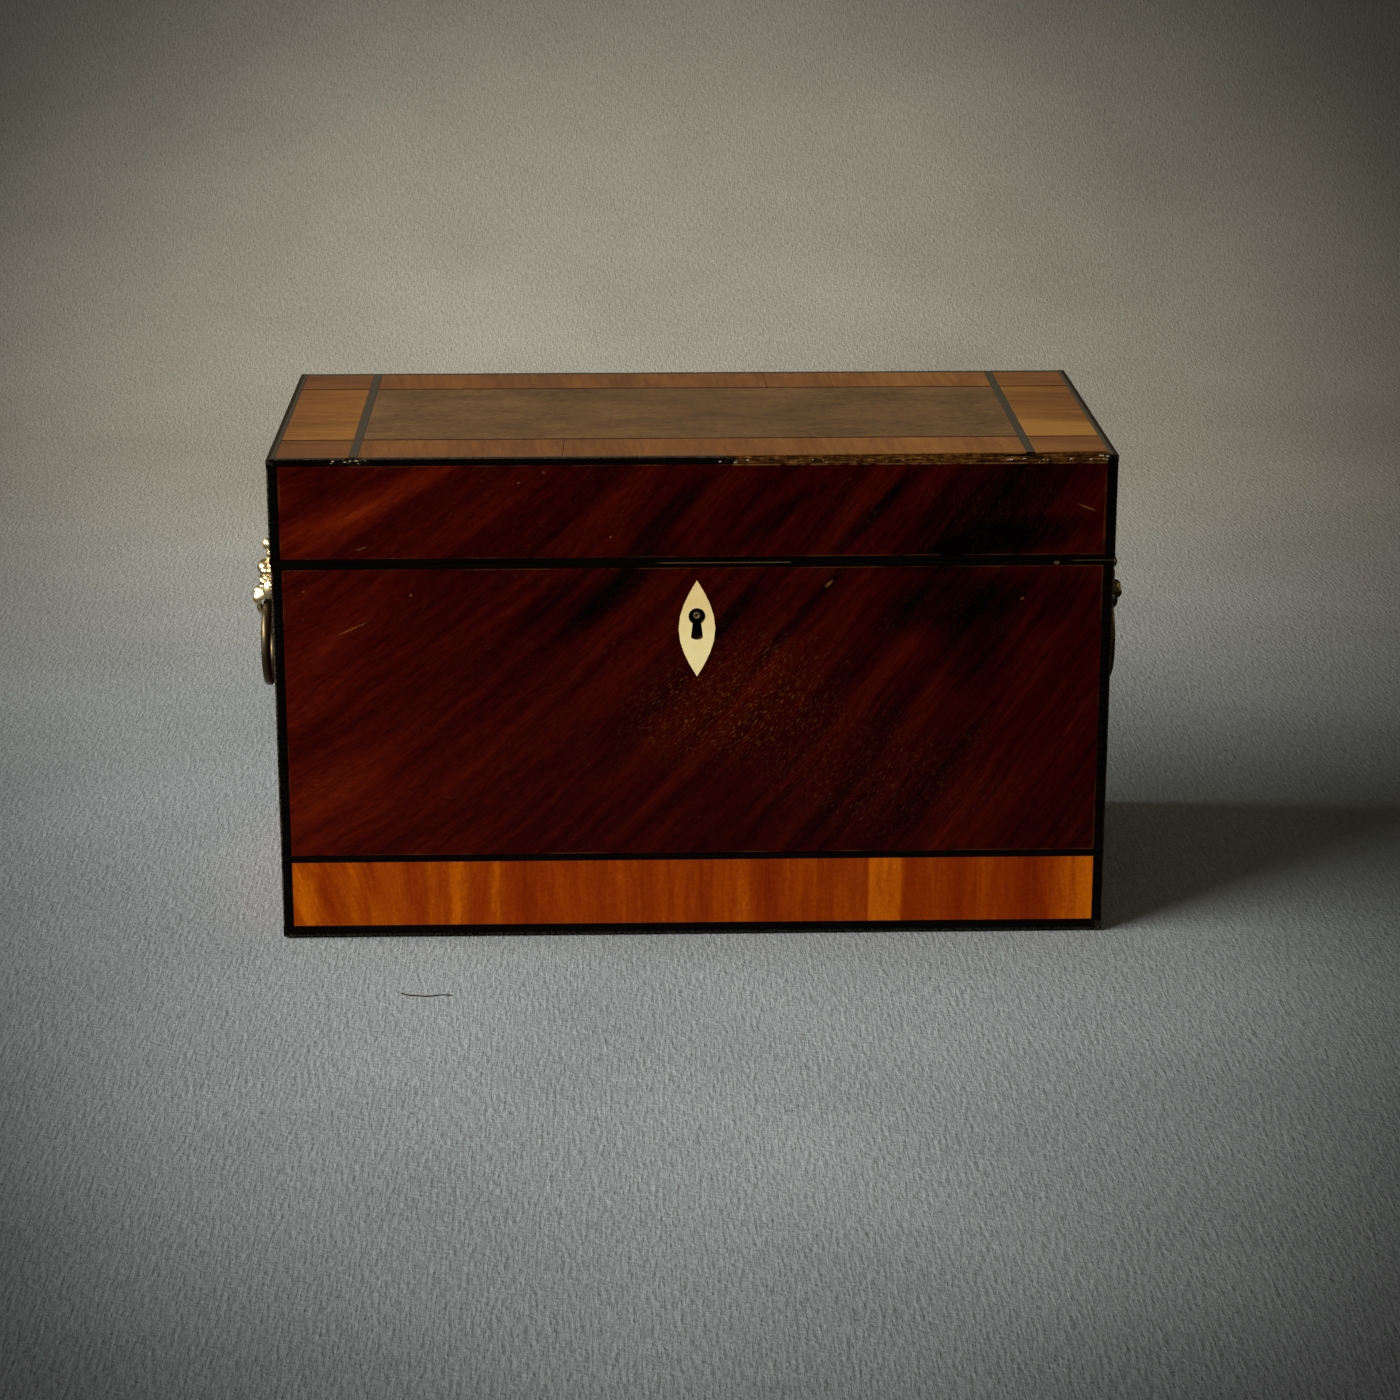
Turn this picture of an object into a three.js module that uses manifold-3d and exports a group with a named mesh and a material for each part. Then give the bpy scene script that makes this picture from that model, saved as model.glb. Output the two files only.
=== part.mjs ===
// Georgian tea caddy: a mahogany box with a hinged lid, satinwood bands, ebony edging, a bone
// escutcheon over a box lock and a lion mask handle on each end. Inside are two lift-out tea
// canisters and a glass mixing bowl. Millimetres, +Z up, the front faces -Y, and the origin is
// the middle of the footprint on the surface that the caddy stands on.
import * as THREE from 'three';
import { mergeVertices } from 'three/addons/utils/BufferGeometryUtils.js';
import Module from 'manifold-3d';

const wasm = await Module();
wasm.setup();

// ---- Driving dimensions ----

const caseWidth = 305;
const caseDepth = 155;
const totalHeight = 182.2;
const jointHeight = 143.35; // the middle of the gap between the case and the lid
const jointGap = 0.2;
const lidOverhang = 0.4; // the lid is this much longer than the case at each end

const boardThickness = 8;
const veneerThickness = 1.2;
const baizeThickness = 0.7;
const baizeInset = 2.5;
const linerThickness = 3;
const linerClearance = 0.3;
const lipHeight = 3.2; // how far the liner stands above the rim, to locate the lid

const cornerEdging = 4; // square ebony strips at the vertical corners
const topEdgingWidth = 3;
const topEdgingHeight = 2.7;
const rimEdgingHeight = 1.9; // ebony on each side of the lid joint
const baseEdgingTop = 5;
const bandTop = 29.7; // satinwood band, from the base edging up
const bandStringTop = 32.5; // ebony string above that band
const edgingLossStart = 14; // the lid's front edging is lost from here to the right corner

const crossStringInner = 120.2; // the ebony strings that cross the lid, measured from its middle
const crossStringOuter = 123.5;
const frontBandEdge = -45.5; // where the satinwood bands meet the lid's middle panel
const backBandEdge = 46.5;

const lockX = 1.2; // the lock and escutcheon sit this far right of the middle
const keyholeHeight = 123.1;
const escutcheonMiddle = 118.5;
const escutcheonHalfHeight = 18.1;
const escutcheonHalfWidth = 6.65;
const escutcheonTaper = 0.17; // 0 gives a parabola, and more makes the tips sharper

const maskHeight = 119.5; // the middle of the lion's head, where its stud goes through
const handleHeight = 108.5; // the axis on which the ring swings
const handleReach = 9; // from the side of the case out to that axis
const ringRadius = 15.2;
const ringWireRadius = 1.9;
const mouthRadius = 2.9;
const studRadius = 2;

const hingeSpread = 95; // from the middle to the middle of each hinge
const hingeLength = 32;
const hingeBarrelRadius = 1.8;
const hingeBoreRadius = 0.95;
const hingePinRadius = 0.8;
const leafThickness = 1.2;
const knuckleCount = 5;

const partitionInside = 56; // the middle well's half width
const partitionThickness = 4;
const partitionTop = 118;
const bowlHoleRadius = 46.5;

const canisterWall = 5;
const canisterClearance = 0.6;
const canisterTop = 122;
const canisterLidThickness = 4;
const foilThickness = 0.5;
const foilTop = 118;

// ---- Working allowances ----

const ease = 0.01; // each piece is cut this much under its nominal size all round
const lap = 0.5; // how far solids run into each other before they are joined
const fit = 0.2; // play round a part that is let into another
const hingeFit = 0.15;
const through = 20; // how far a cutter runs past the piece that it cuts

// ---- Planes that several pieces share ----

const halfWidth = caseWidth / 2;
const halfDepth = caseDepth / 2;
const lidHalfWidth = halfWidth + lidOverhang;
const caseTop = jointHeight - jointGap / 2;
const lidBottom = jointHeight + jointGap / 2;
const boardFace = veneerThickness; // depths below the outer faces
const wallDepth = veneerThickness + boardThickness;
const topVeneerBottom = totalHeight - veneerThickness;
const lidCeiling = topVeneerBottom - boardThickness;
const topEdgingBottom = totalHeight - topEdgingHeight;
const wellHalfDepth = halfDepth - wallDepth - linerClearance - linerThickness;
const wellHalfWidth = halfWidth - wallDepth - linerClearance - linerThickness;
const hingeAxis = { y: halfDepth + hingeBarrelRadius + 0.3, z: jointHeight };
const leafInnerEdge = halfDepth - wallDepth + 1;

// ---- Materials ----

const finish = (color, roughness, metalness = 0) =>
  new THREE.MeshStandardMaterial({ color, roughness, metalness });

const mahogany = finish(0x4a1608, 0.32);
const fadedMahogany = finish(0x5a4530, 0.4);
const satinwood = finish(0x94561c, 0.35);
const ebony = finish(0x14110e, 0.35);
const pine = finish(0x8a6a42, 0.75);
const bone = finish(0xdccd96, 0.4);
const brass = finish(0xb08a3c, 0.28, 1);
const baize = finish(0x24402c, 0.95);
const velvet = finish(0x4a1420, 0.95);
const pewterFoil = finish(0x9a9a98, 0.45, 1);
const glass = finish(0xdfe8e6, 0.05);

// ---- Solid helpers ----

const span = (a, b) => [Math.min(a, b), Math.max(a, b)];
const symmetric = (half) => [-half, half];

// A box whose corners hold the given numbers exactly, so that faces meant to be level are.
function boxGeometry(x, y, z, cut = 0) {
  const geometry = new THREE.BoxGeometry(1, 1, 1);
  const { position } = geometry.attributes;
  for (let i = 0; i < position.count; i += 1) {
    const corner = [x, y, z].map(([low, high], axis) => (
      position.getComponent(i, axis) < 0 ? low + cut : high - cut
    ));
    position.setXYZ(i, ...corner);
  }
  return geometry;
}

// A piece between nominal faces, eased so that glued neighbours never overlap.
const block = (x, y, z) => boxGeometry(x, y, z, ease);

function toSolid(geometry) {
  const bare = geometry.index ? geometry.toNonIndexed() : geometry.clone();
  bare.deleteAttribute('normal');
  bare.deleteAttribute('uv');
  const merged = mergeVertices(bare, 1e-4);
  return new wasm.Manifold(new wasm.Mesh({
    numProp: 3,
    vertProperties: new Float32Array(merged.attributes.position.array),
    triVerts: new Uint32Array(merged.index.array),
  }));
}

function toGeometry(solid) {
  const mesh = solid.getMesh();
  const geometry = new THREE.BufferGeometry();
  geometry.setAttribute('position', new THREE.BufferAttribute(mesh.vertProperties, 3));
  geometry.setIndex(new THREE.BufferAttribute(mesh.triVerts, 1));
  geometry.computeVertexNormals();
  return geometry;
}

// Joins the first list of shapes and cuts the second list out of them.
function carve(parts, cutters = []) {
  let solid = parts.map(toSolid).reduce((whole, part) => whole.add(part));
  for (const cutter of cutters) {
    solid = solid.subtract(toSolid(cutter));
  }
  return toGeometry(solid);
}

function rodAlongX(radius, [x0, x1], y, z, sides = 16) {
  const rod = new THREE.CylinderGeometry(radius, radius, x1 - x0, sides);
  return rod.rotateZ(Math.PI / 2).translate((x0 + x1) / 2, y, z);
}

function rodAlongY(radius, [y0, y1], x, z, sides = 16) {
  const rod = new THREE.CylinderGeometry(radius, radius, y1 - y0, sides);
  return rod.translate(x, (y0 + y1) / 2, z);
}

function rodAlongZ(radius, [z0, z1], x, y, sides = 16) {
  const rod = new THREE.CylinderGeometry(radius, radius, z1 - z0, sides);
  return rod.rotateX(Math.PI / 2).translate(x, y, (z0 + z1) / 2);
}

// A turned solid on the Z axis, from a profile of [radius, height] pairs.
function turned(profile, sides) {
  const points = profile.map(([radius, height]) => new THREE.Vector2(radius, height));
  return new THREE.LatheGeometry(points, sides).rotateX(Math.PI / 2);
}

// An upright plate: an outline in X and Z with its thickness along Y.
function uprightPlate(outline, [y0, y1], holes = []) {
  const shape = new THREE.Shape(outline);
  shape.holes = holes.map((hole) => new THREE.Path(hole));
  const plate = new THREE.ExtrudeGeometry(shape, { depth: y1 - y0, bevelEnabled: false });
  return plate.rotateX(Math.PI / 2).translate(0, y1, 0);
}

// Points of an arc without its last one, so that arcs and lines chain into an outline.
function arc(x, z, radius, from, to, steps) {
  return Array.from({ length: steps }, (_, i) => {
    const angle = from + ((to - from) * i) / steps;
    return new THREE.Vector2(x + radius * Math.cos(angle), z + radius * Math.sin(angle));
  });
}

// ---- Outlines ----

// The pointed oval of the escutcheon, whose sides run nearly straight into its tips.
function pointedOval(grow) {
  const steps = 12;
  const edge = (side) => Array.from({ length: steps }, (_, i) => {
    const t = -side * Math.cos((Math.PI * i) / steps);
    const width = (escutcheonHalfWidth + grow) * (1 - t ** 2) * (1 - escutcheonTaper * t ** 2);
    const height = (escutcheonHalfHeight + grow) * t;
    return new THREE.Vector2(lockX + side * width, escutcheonMiddle + height);
  });
  return [...edge(1), ...edge(-1)];
}

// A round eye over a skirt that widens to a shallow curved foot.
function keyholeOutline() {
  const eye = 3.1;
  const neck = 1.6;
  const foot = 2.2;
  const footDrop = 8; // from the middle of the eye to the corners of the foot
  const footSag = 0.8;
  const start = -Math.acos(neck / eye);
  const radius = (foot ** 2 + footSag ** 2) / (2 * footSag);
  const reach = Math.asin(foot / radius);
  const cornerHeight = keyholeHeight - footDrop;
  const arcMiddle = cornerHeight - footSag + radius;
  return [
    ...arc(lockX, keyholeHeight, eye, start, Math.PI - start, 16),
    new THREE.Vector2(lockX - neck, keyholeHeight - eye * Math.sin(-start)),
    ...arc(lockX, arcMiddle, radius, 1.5 * Math.PI - reach, 1.5 * Math.PI + reach, 6),
    new THREE.Vector2(lockX + foot, cornerHeight),
  ];
}

const rectangle = ([x0, x1], [z0, z1]) => [
  new THREE.Vector2(x0, z0),
  new THREE.Vector2(x1, z0),
  new THREE.Vector2(x1, z1),
  new THREE.Vector2(x0, z1),
];

// ---- The scene graph ----

const caddy = new THREE.Group();
const caseGroup = new THREE.Group();
const lidGroup = new THREE.Group();
caddy.add(caseGroup, lidGroup);

function addPiece(group, name, geometry, material) {
  const mesh = new THREE.Mesh(geometry, material);
  mesh.name = name;
  group.add(mesh);
}

// ---- Walls that the case and the lid share ----

// A front or back board. It is rebated at its ends and along its outer edges for the ebony.
function longBoard(side, half, inner, tongue) {
  const innerY = span(side * (halfDepth - cornerEdging), side * (halfDepth - wallDepth));
  const tongueY = span(side * (halfDepth - boardFace), side * (halfDepth - cornerEdging - lap));
  return [
    block(symmetric(half - cornerEdging), innerY, inner),
    block(symmetric(half - boardFace), innerY, tongue),
    block(symmetric(half - cornerEdging), tongueY, tongue),
  ];
}

// A side board, which fits between the front and back boards.
function endBoard(side, half, inner, tongue) {
  const depth = symmetric(halfDepth - wallDepth);
  return [
    block(span(side * (half - cornerEdging), side * (half - wallDepth)), depth, inner),
    block(span(side * (half - boardFace), side * (half - cornerEdging - lap)), depth, tongue),
  ];
}

// Four strips around the box, `width` wide and between the two heights given.
function edgingFrame(half, width, heights) {
  const strips = [];
  for (const side of [-1, 1]) {
    strips.push(block(symmetric(half), span(side * halfDepth, side * (halfDepth - width)), heights));
    strips.push(block(span(side * half, side * (half - width)), symmetric(halfDepth), heights));
  }
  return strips;
}

function cornerPosts(half, heights) {
  const posts = [];
  for (const sideX of [-1, 1]) {
    for (const sideY of [-1, 1]) {
      posts.push(block(
        span(sideX * half, sideX * (half - cornerEdging)),
        span(sideY * halfDepth, sideY * (halfDepth - cornerEdging)),
        heights,
      ));
    }
  }
  return posts;
}

// The pockets in a rim that take the leaves of both hinges.
function leafPockets(heights) {
  return [-1, 1].map((side) => boxGeometry(
    symmetric(hingeLength / 2 + hingeFit).map((x) => x + side * hingeSpread),
    [leafInnerEdge - hingeFit, halfDepth + through],
    heights,
  ));
}

// ---- Lock dimensions, shared by the boards that are cut for it ----

const lock = {
  x: symmetric(23).map((x) => x + lockX),
  plateX: symmetric(29).map((x) => x + lockX),
  y: [-(halfDepth - cornerEdging) + fit, -(halfDepth - wallDepth) + 2],
  bottom: 112,
  plateThickness: 2,
  wall: 0.7,
};
const staple = {
  spread: 10, // from the lock's middle to the middle of each staple
  thickness: 1.8,
  y: [-72.3, -69.3],
  bottom: 134.6,
  eyeY: [-71.8, -69.8],
  eyeZ: [136.2, 139.4],
};
const linkPlateY = [-73.2, -68.6];
const linkPlateHalf = 22;
const linkPlateThickness = 1.2;
const bolt = {
  travel: 5,
  barX: [-19, 15],
  notchHalf: 2.5, // the notch that the key would turn in
  notchTop: 130,
  y: [-72.2, -69.4],
  z: [128.2, 132.4],
  fingerY: [-71.4, -70.2],
  fingerZ: [137, 138.6],
  armWidth: 2,
  gap: 0.6, // from the tip of a finger at rest to its staple
};

// ---- Case ----

function bottomBoard() {
  return block(
    symmetric(halfWidth - cornerEdging),
    symmetric(halfDepth - cornerEdging),
    [baizeThickness, baseEdgingTop],
  );
}

const caseInner = [baseEdgingTop, caseTop];
const caseTongue = [baseEdgingTop, caseTop - rimEdgingHeight];

function frontBoard() {
  const mortise = boxGeometry(
    [lock.x[0] - fit, lock.x[1] + fit],
    [lock.y[0] - fit, -halfDepth + wallDepth + through],
    [lock.bottom - fit, caseTop + through],
  );
  const plateRebate = boxGeometry(
    [lock.plateX[0] - fit, lock.plateX[1] + fit],
    [lock.y[0] - fit, -halfDepth + wallDepth + through],
    [caseTop - lock.plateThickness - fit, caseTop + through],
  );
  const keyhole = uprightPlate(keyholeOutline(), [-halfDepth - through, lock.y[0]]);
  return carve(longBoard(-1, halfWidth, caseInner, caseTongue), [mortise, plateRebate, keyhole]);
}

function backBoard() {
  const pockets = leafPockets([caseTop - leafThickness - 0.05, caseTop + through]);
  return carve(longBoard(1, halfWidth, caseInner, caseTongue), pockets);
}

// A side board with the hole for the stud of the lion mask.
function sideBoard(side) {
  const hole = rodAlongX(studRadius + fit, span(0, side * 2 * halfWidth), 0, maskHeight);
  return carve(endBoard(side, halfWidth, caseInner, caseTongue), [hole]);
}

function frontVeneer() {
  const outline = rectangle(
    symmetric(halfWidth - cornerEdging - ease),
    [bandStringTop + ease, caseTop - rimEdgingHeight - ease],
  );
  return uprightPlate(
    outline,
    [-halfDepth + ease, -halfDepth + veneerThickness - ease],
    [pointedOval(2 * ease)],
  );
}

function backVeneer() {
  return block(
    symmetric(halfWidth - cornerEdging),
    [halfDepth - veneerThickness, halfDepth],
    [baseEdgingTop, caseTop - rimEdgingHeight],
  );
}

function sideVeneer(side) {
  const sheet = block(
    span(side * halfWidth, side * (halfWidth - veneerThickness)),
    symmetric(halfDepth - cornerEdging),
    [bandStringTop, caseTop - rimEdgingHeight],
  );
  return carve([sheet], [rodAlongX(studRadius + fit, span(0, side * 2 * halfWidth), 0, maskHeight)]);
}

function frontBand() {
  return block(
    symmetric(halfWidth - cornerEdging),
    [-halfDepth, -halfDepth + veneerThickness],
    [baseEdgingTop, bandTop],
  );
}

function sideBand(side) {
  return block(
    span(side * halfWidth, side * (halfWidth - veneerThickness)),
    symmetric(halfDepth - cornerEdging),
    [baseEdgingTop, bandTop],
  );
}

// Ebony: corner strips, base edging, rim edging and the strings above the satinwood band.
function caseEdging() {
  const heights = [bandTop, bandStringTop];
  const strings = [
    block(
      symmetric(halfWidth - cornerEdging + lap),
      [-halfDepth, -halfDepth + veneerThickness],
      heights,
    ),
    ...[-1, 1].map((side) => block(
      span(side * halfWidth, side * (halfWidth - veneerThickness)),
      symmetric(halfDepth - cornerEdging + lap),
      heights,
    )),
  ];
  return carve(
    [
      ...cornerPosts(halfWidth, [baizeThickness, caseTop]),
      ...edgingFrame(halfWidth, cornerEdging, [baizeThickness, baseEdgingTop]),
      ...edgingFrame(halfWidth, cornerEdging, [caseTop - rimEdgingHeight, caseTop]),
      ...strings,
    ],
    leafPockets([caseTop - leafThickness - 0.05, caseTop + through]),
  );
}

function escutcheon() {
  return uprightPlate(
    pointedOval(0),
    [-halfDepth, -halfDepth + veneerThickness - ease],
    [keyholeOutline()],
  );
}

// Thin boards around the inside of the case. They stand above the rim as the lid's lip.
function innerLiner() {
  const outerX = wellHalfWidth + linerThickness;
  const outerY = wellHalfDepth + linerThickness;
  const heights = [baseEdgingTop, caseTop + lipHeight];
  const hollow = boxGeometry(symmetric(wellHalfWidth), symmetric(wellHalfDepth), [0, 2 * caseTop]);
  const lockPocket = boxGeometry(
    [lock.plateX[0] - fit, lock.plateX[1] + fit],
    [-outerY - through, lock.y[1] + fit],
    [lock.bottom - fit, caseTop + through],
  );
  return carve([block(symmetric(outerX), symmetric(outerY), heights)], [hollow, lockPocket]);
}

function partition(side) {
  return block(
    span(side * partitionInside, side * (partitionInside + partitionThickness)),
    symmetric(wellHalfDepth),
    [baseEdgingTop, partitionTop],
  );
}

// The board between the partitions, with the round hole that the bowl sits in.
function bowlBoard() {
  const thickness = 5;
  const board = block(
    symmetric(partitionInside),
    symmetric(wellHalfDepth),
    [partitionTop - thickness, partitionTop],
  );
  return carve([board], [rodAlongZ(bowlHoleRadius, [0, 2 * partitionTop], 0, 0, 32)]);
}

function buildCase() {
  const baizeSheet = block(
    symmetric(halfWidth - baizeInset),
    symmetric(halfDepth - baizeInset),
    [-ease, baizeThickness],
  );
  addPiece(caseGroup, 'base_baize', baizeSheet, baize);
  addPiece(caseGroup, 'bottom_board', bottomBoard(), pine);
  addPiece(caseGroup, 'front_board', frontBoard(), pine);
  addPiece(caseGroup, 'back_board', backBoard(), pine);
  addPiece(caseGroup, 'left_board', sideBoard(-1), pine);
  addPiece(caseGroup, 'right_board', sideBoard(1), pine);
  addPiece(caseGroup, 'front_veneer', frontVeneer(), mahogany);
  addPiece(caseGroup, 'back_veneer', backVeneer(), mahogany);
  addPiece(caseGroup, 'left_veneer', sideVeneer(-1), mahogany);
  addPiece(caseGroup, 'right_veneer', sideVeneer(1), mahogany);
  addPiece(caseGroup, 'front_band', frontBand(), satinwood);
  addPiece(caseGroup, 'left_band', sideBand(-1), satinwood);
  addPiece(caseGroup, 'right_band', sideBand(1), satinwood);
  addPiece(caseGroup, 'case_edging', caseEdging(), ebony);
  addPiece(caseGroup, 'escutcheon', escutcheon(), bone);
  addPiece(caseGroup, 'inner_liner', innerLiner(), mahogany);
  addPiece(caseGroup, 'left_partition', partition(-1), mahogany);
  addPiece(caseGroup, 'right_partition', partition(1), mahogany);
  addPiece(caseGroup, 'bowl_board', bowlBoard(), mahogany);
}

// ---- Lock ----

// A brass box with a top plate that lies flush in the rim, slots for the two staples of the
// link plate, and a keyhole in its front.
function lockCase() {
  const bodyTop = caseTop - lock.plateThickness;
  const chamber = boxGeometry(
    [lock.x[0] + lock.wall, lock.x[1] - lock.wall],
    [lock.y[0] + lock.wall, lock.y[1] - lock.wall],
    [lock.bottom + lock.wall, bodyTop],
  );
  const slotHalf = staple.thickness / 2 + 0.8;
  const slots = [-1, 1].map((side) => boxGeometry(
    symmetric(slotHalf).map((x) => x + lockX + side * staple.spread),
    [staple.y[0] - 0.3, staple.y[1] + 0.3],
    [bodyTop - 1, caseTop + through],
  ));
  const keyhole = uprightPlate(keyholeOutline(), [-halfDepth - through, lock.y[0] + lock.wall + 1]);
  return carve(
    [
      block(lock.x, lock.y, [lock.bottom, bodyTop + lap]),
      block(lock.plateX, lock.y, [bodyTop, caseTop]),
    ],
    [chamber, ...slots, keyhole],
  );
}

// The pin that a hollow key turns on. It stands on the back plate of the lock.
function lockPin() {
  const start = -halfDepth + 0.9;
  const end = lock.y[1] - lock.wall - 0.05;
  return rodAlongY(1.5, [start, end], lockX, keyholeHeight, 16);
}

// A bar below the staples with two arms, whose fingers slide through the staples' eyes. A finger
// is as long as the travel, so its arm stops just short of the staple.
function lockBolt() {
  const armFace = staple.spread - staple.thickness / 2 - bolt.gap - bolt.travel;
  const arms = [-1, 1].flatMap((side) => {
    const face = lockX + (side - 1) * staple.spread + armFace;
    return [
      block([face - bolt.armWidth, face], bolt.fingerY, [bolt.z[1] - lap, bolt.fingerZ[1]]),
      block([face - bolt.armWidth + lap, face + bolt.travel], bolt.fingerY, bolt.fingerZ),
    ];
  });
  const bar = block(bolt.barX.map((x) => x + lockX), bolt.y, bolt.z);
  const keyNotch = boxGeometry(
    symmetric(bolt.notchHalf).map((x) => x + lockX),
    [bolt.y[0] - through, bolt.y[1] + through],
    [bolt.z[0] - through, bolt.notchTop],
  );
  return carve([bar, ...arms], [keyNotch]);
}

// The plate in the lid's front rail. Its two staples drop into the lock.
function linkPlate() {
  const plate = block(
    symmetric(linkPlateHalf).map((x) => x + lockX),
    linkPlateY,
    [lidBottom, lidBottom + linkPlateThickness],
  );
  const staples = [-1, 1].map((side) => block(
    symmetric(staple.thickness / 2).map((x) => x + lockX + side * staple.spread),
    staple.y,
    [staple.bottom, lidBottom + lap],
  ));
  const eyes = boxGeometry([-through, through], staple.eyeY, staple.eyeZ);
  return carve([plate, ...staples], [eyes]);
}

function buildLock() {
  addPiece(caseGroup, 'lock_case', lockCase(), brass);
  addPiece(caseGroup, 'lock_pin', lockPin(), brass);
  addPiece(caseGroup, 'lock_bolt', lockBolt(), brass);
  addPiece(lidGroup, 'lock_link_plate', linkPlate(), brass);
}

// ---- Hinges ----

// One leaf with its share of the knuckles: the case leaf has the odd ones, the lid leaf the even.
function hingeLeaf(side, isLid) {
  const [z0, z1] = isLid
    ? [lidBottom, lidBottom + leafThickness]
    : [caseTop - leafThickness, caseTop];
  const start = side * hingeSpread - hingeLength / 2;
  const pitch = hingeLength / knuckleCount;
  const parts = [block([start, start + hingeLength], [leafInnerEdge, halfDepth - fit], [z0, z1])];
  for (let i = isLid ? 1 : 0; i < knuckleCount; i += 2) {
    const x = [start + i * pitch + hingeFit, start + (i + 1) * pitch - hingeFit];
    parts.push(block(x, [halfDepth - 1, hingeAxis.y], [z0, z1]));
    parts.push(rodAlongX(hingeBarrelRadius, x, hingeAxis.y, hingeAxis.z));
  }
  const bore = rodAlongX(
    hingeBoreRadius,
    [start - through, start + hingeLength + through],
    hingeAxis.y,
    hingeAxis.z,
  );
  return carve(parts, [bore]);
}

function hingePin(side) {
  const half = hingeLength / 2 + 0.6;
  const middle = side * hingeSpread;
  return rodAlongX(hingePinRadius, [middle - half, middle + half], hingeAxis.y, hingeAxis.z, 12);
}

function buildHinges() {
  for (const [word, side] of [['left', -1], ['right', 1]]) {
    addPiece(caseGroup, `${word}_hinge_case_leaf`, hingeLeaf(side, false), brass);
    addPiece(lidGroup, `${word}_hinge_lid_leaf`, hingeLeaf(side, true), brass);
    addPiece(caseGroup, `${word}_hinge_pin`, hingePin(side), brass);
  }
}

// ---- Lion mask handles ----

const mask = {
  // Rounded masses of the head: how far out, sideways and up their middles lie, and their radii.
  masses: [
    { at: [2.5, 0, maskHeight], size: [7.5, 10.5, 12.5] }, // skull
    { at: [8, 0, 122.6], size: [4.8, 7, 3.8] }, // brow
    { at: [8.6, 0, 117.6], size: [3.8, 3.2, 4.6] }, // bridge of the nose
    { at: [9.3, 0, 112.4], size: [5.8, 6, 5] }, // muzzle
    { at: [9.4, 0, 107.4], size: [4.6, 3.6, 4.6] }, // jaw, which holds the ring
    { at: [7.3, 0, 131.2], size: [3.4, 3.2, 3.4] }, // forelock
    { at: [3.4, 0, 128], size: [5.2, 7, 4.6] }, // mane above the brow
  ],
  maneLobe: [4.2, 3.6, 4.4],
  maneRadius: [10.4, 11.6],
};

function ellipsoid(side, [out, across, up], [a, b, c]) {
  const ball = new THREE.SphereGeometry(1, 10, 6).rotateX(Math.PI / 2).scale(a, b, c);
  return ball.translate(side * (halfWidth + out), across, up);
}

// A cast mask on a stud. The jaw has a hole along Y for the ring.
function lionMask(side) {
  const masses = mask.masses.map(({ at, size }) => ellipsoid(side, at, size));
  const lobes = [-42, 0, 42].flatMap((degrees) => [-1, 1].map((cheek) => {
    const angle = THREE.MathUtils.degToRad(degrees);
    const across = cheek * mask.maneRadius[0] * Math.cos(angle);
    const up = maskHeight + mask.maneRadius[1] * Math.sin(angle);
    return ellipsoid(side, [2.6, across, up], mask.maneLobe);
  }));
  const studLength = span(side * (halfWidth - wallDepth + 0.4), side * (halfWidth + 4));
  const stud = rodAlongX(studRadius, studLength, 0, maskHeight);
  const backCut = boxGeometry(
    span(0, side * (halfWidth + 0.02)),
    symmetric(through),
    [maskHeight - 2 * through, maskHeight + 2 * through],
  );
  const mouth = rodAlongY(
    mouthRadius,
    symmetric(through),
    side * (halfWidth + handleReach),
    handleHeight,
  );
  const head = toGeometry(
    [...masses, ...lobes].map(toSolid).reduce((whole, part) => whole.add(part))
      .subtract(toSolid(backCut))
      .subtract(toSolid(mouth)),
  );
  return carve([head, stud]);
}

// A plain ring that hangs through the lion's mouth.
function handleRing(side) {
  const ring = new THREE.TorusGeometry(ringRadius, ringWireRadius, 8, 24).rotateY(Math.PI / 2);
  return ring.translate(side * (halfWidth + handleReach), 0, handleHeight - ringRadius);
}

function buildHandles() {
  for (const [word, side] of [['left', -1], ['right', 1]]) {
    addPiece(caseGroup, `${word}_mask`, lionMask(side), brass);
    addPiece(caseGroup, `${word}_ring`, handleRing(side), brass);
  }
}

// ---- Lid ----

const lidInner = [lidBottom, lidCeiling];
const lidTongue = [lidBottom + rimEdgingHeight, lidCeiling];

function lidFrontRail() {
  const pocket = boxGeometry(
    symmetric(linkPlateHalf + fit).map((x) => x + lockX),
    [linkPlateY[0] - fit, -halfDepth + wallDepth + through],
    [lidBottom - through, lidBottom + linkPlateThickness + fit],
  );
  return carve(longBoard(-1, lidHalfWidth, lidInner, lidTongue), [pocket]);
}

function lidBackRail() {
  const pockets = leafPockets([lidBottom - through, lidBottom + leafThickness + 0.05]);
  return carve(longBoard(1, lidHalfWidth, lidInner, lidTongue), pockets);
}

// The board on top of the rails, rebated all round for the ebony edging.
function lidTopBoard() {
  const lower = [lidCeiling, topEdgingBottom];
  return carve([
    block(symmetric(lidHalfWidth - boardFace), symmetric(halfDepth - cornerEdging), lower),
    block(symmetric(lidHalfWidth - cornerEdging), symmetric(halfDepth - boardFace), lower),
    block(
      symmetric(lidHalfWidth - cornerEdging),
      symmetric(halfDepth - cornerEdging),
      [lidCeiling, topVeneerBottom],
    ),
  ]);
}

function lidLongVeneer(side) {
  return block(
    symmetric(lidHalfWidth - cornerEdging),
    span(side * halfDepth, side * (halfDepth - veneerThickness)),
    [lidBottom + rimEdgingHeight, topEdgingBottom],
  );
}

function lidEndVeneer(side) {
  return block(
    span(side * lidHalfWidth, side * (lidHalfWidth - veneerThickness)),
    symmetric(halfDepth - cornerEdging),
    [lidBottom + rimEdgingHeight, topEdgingBottom],
  );
}

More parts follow.
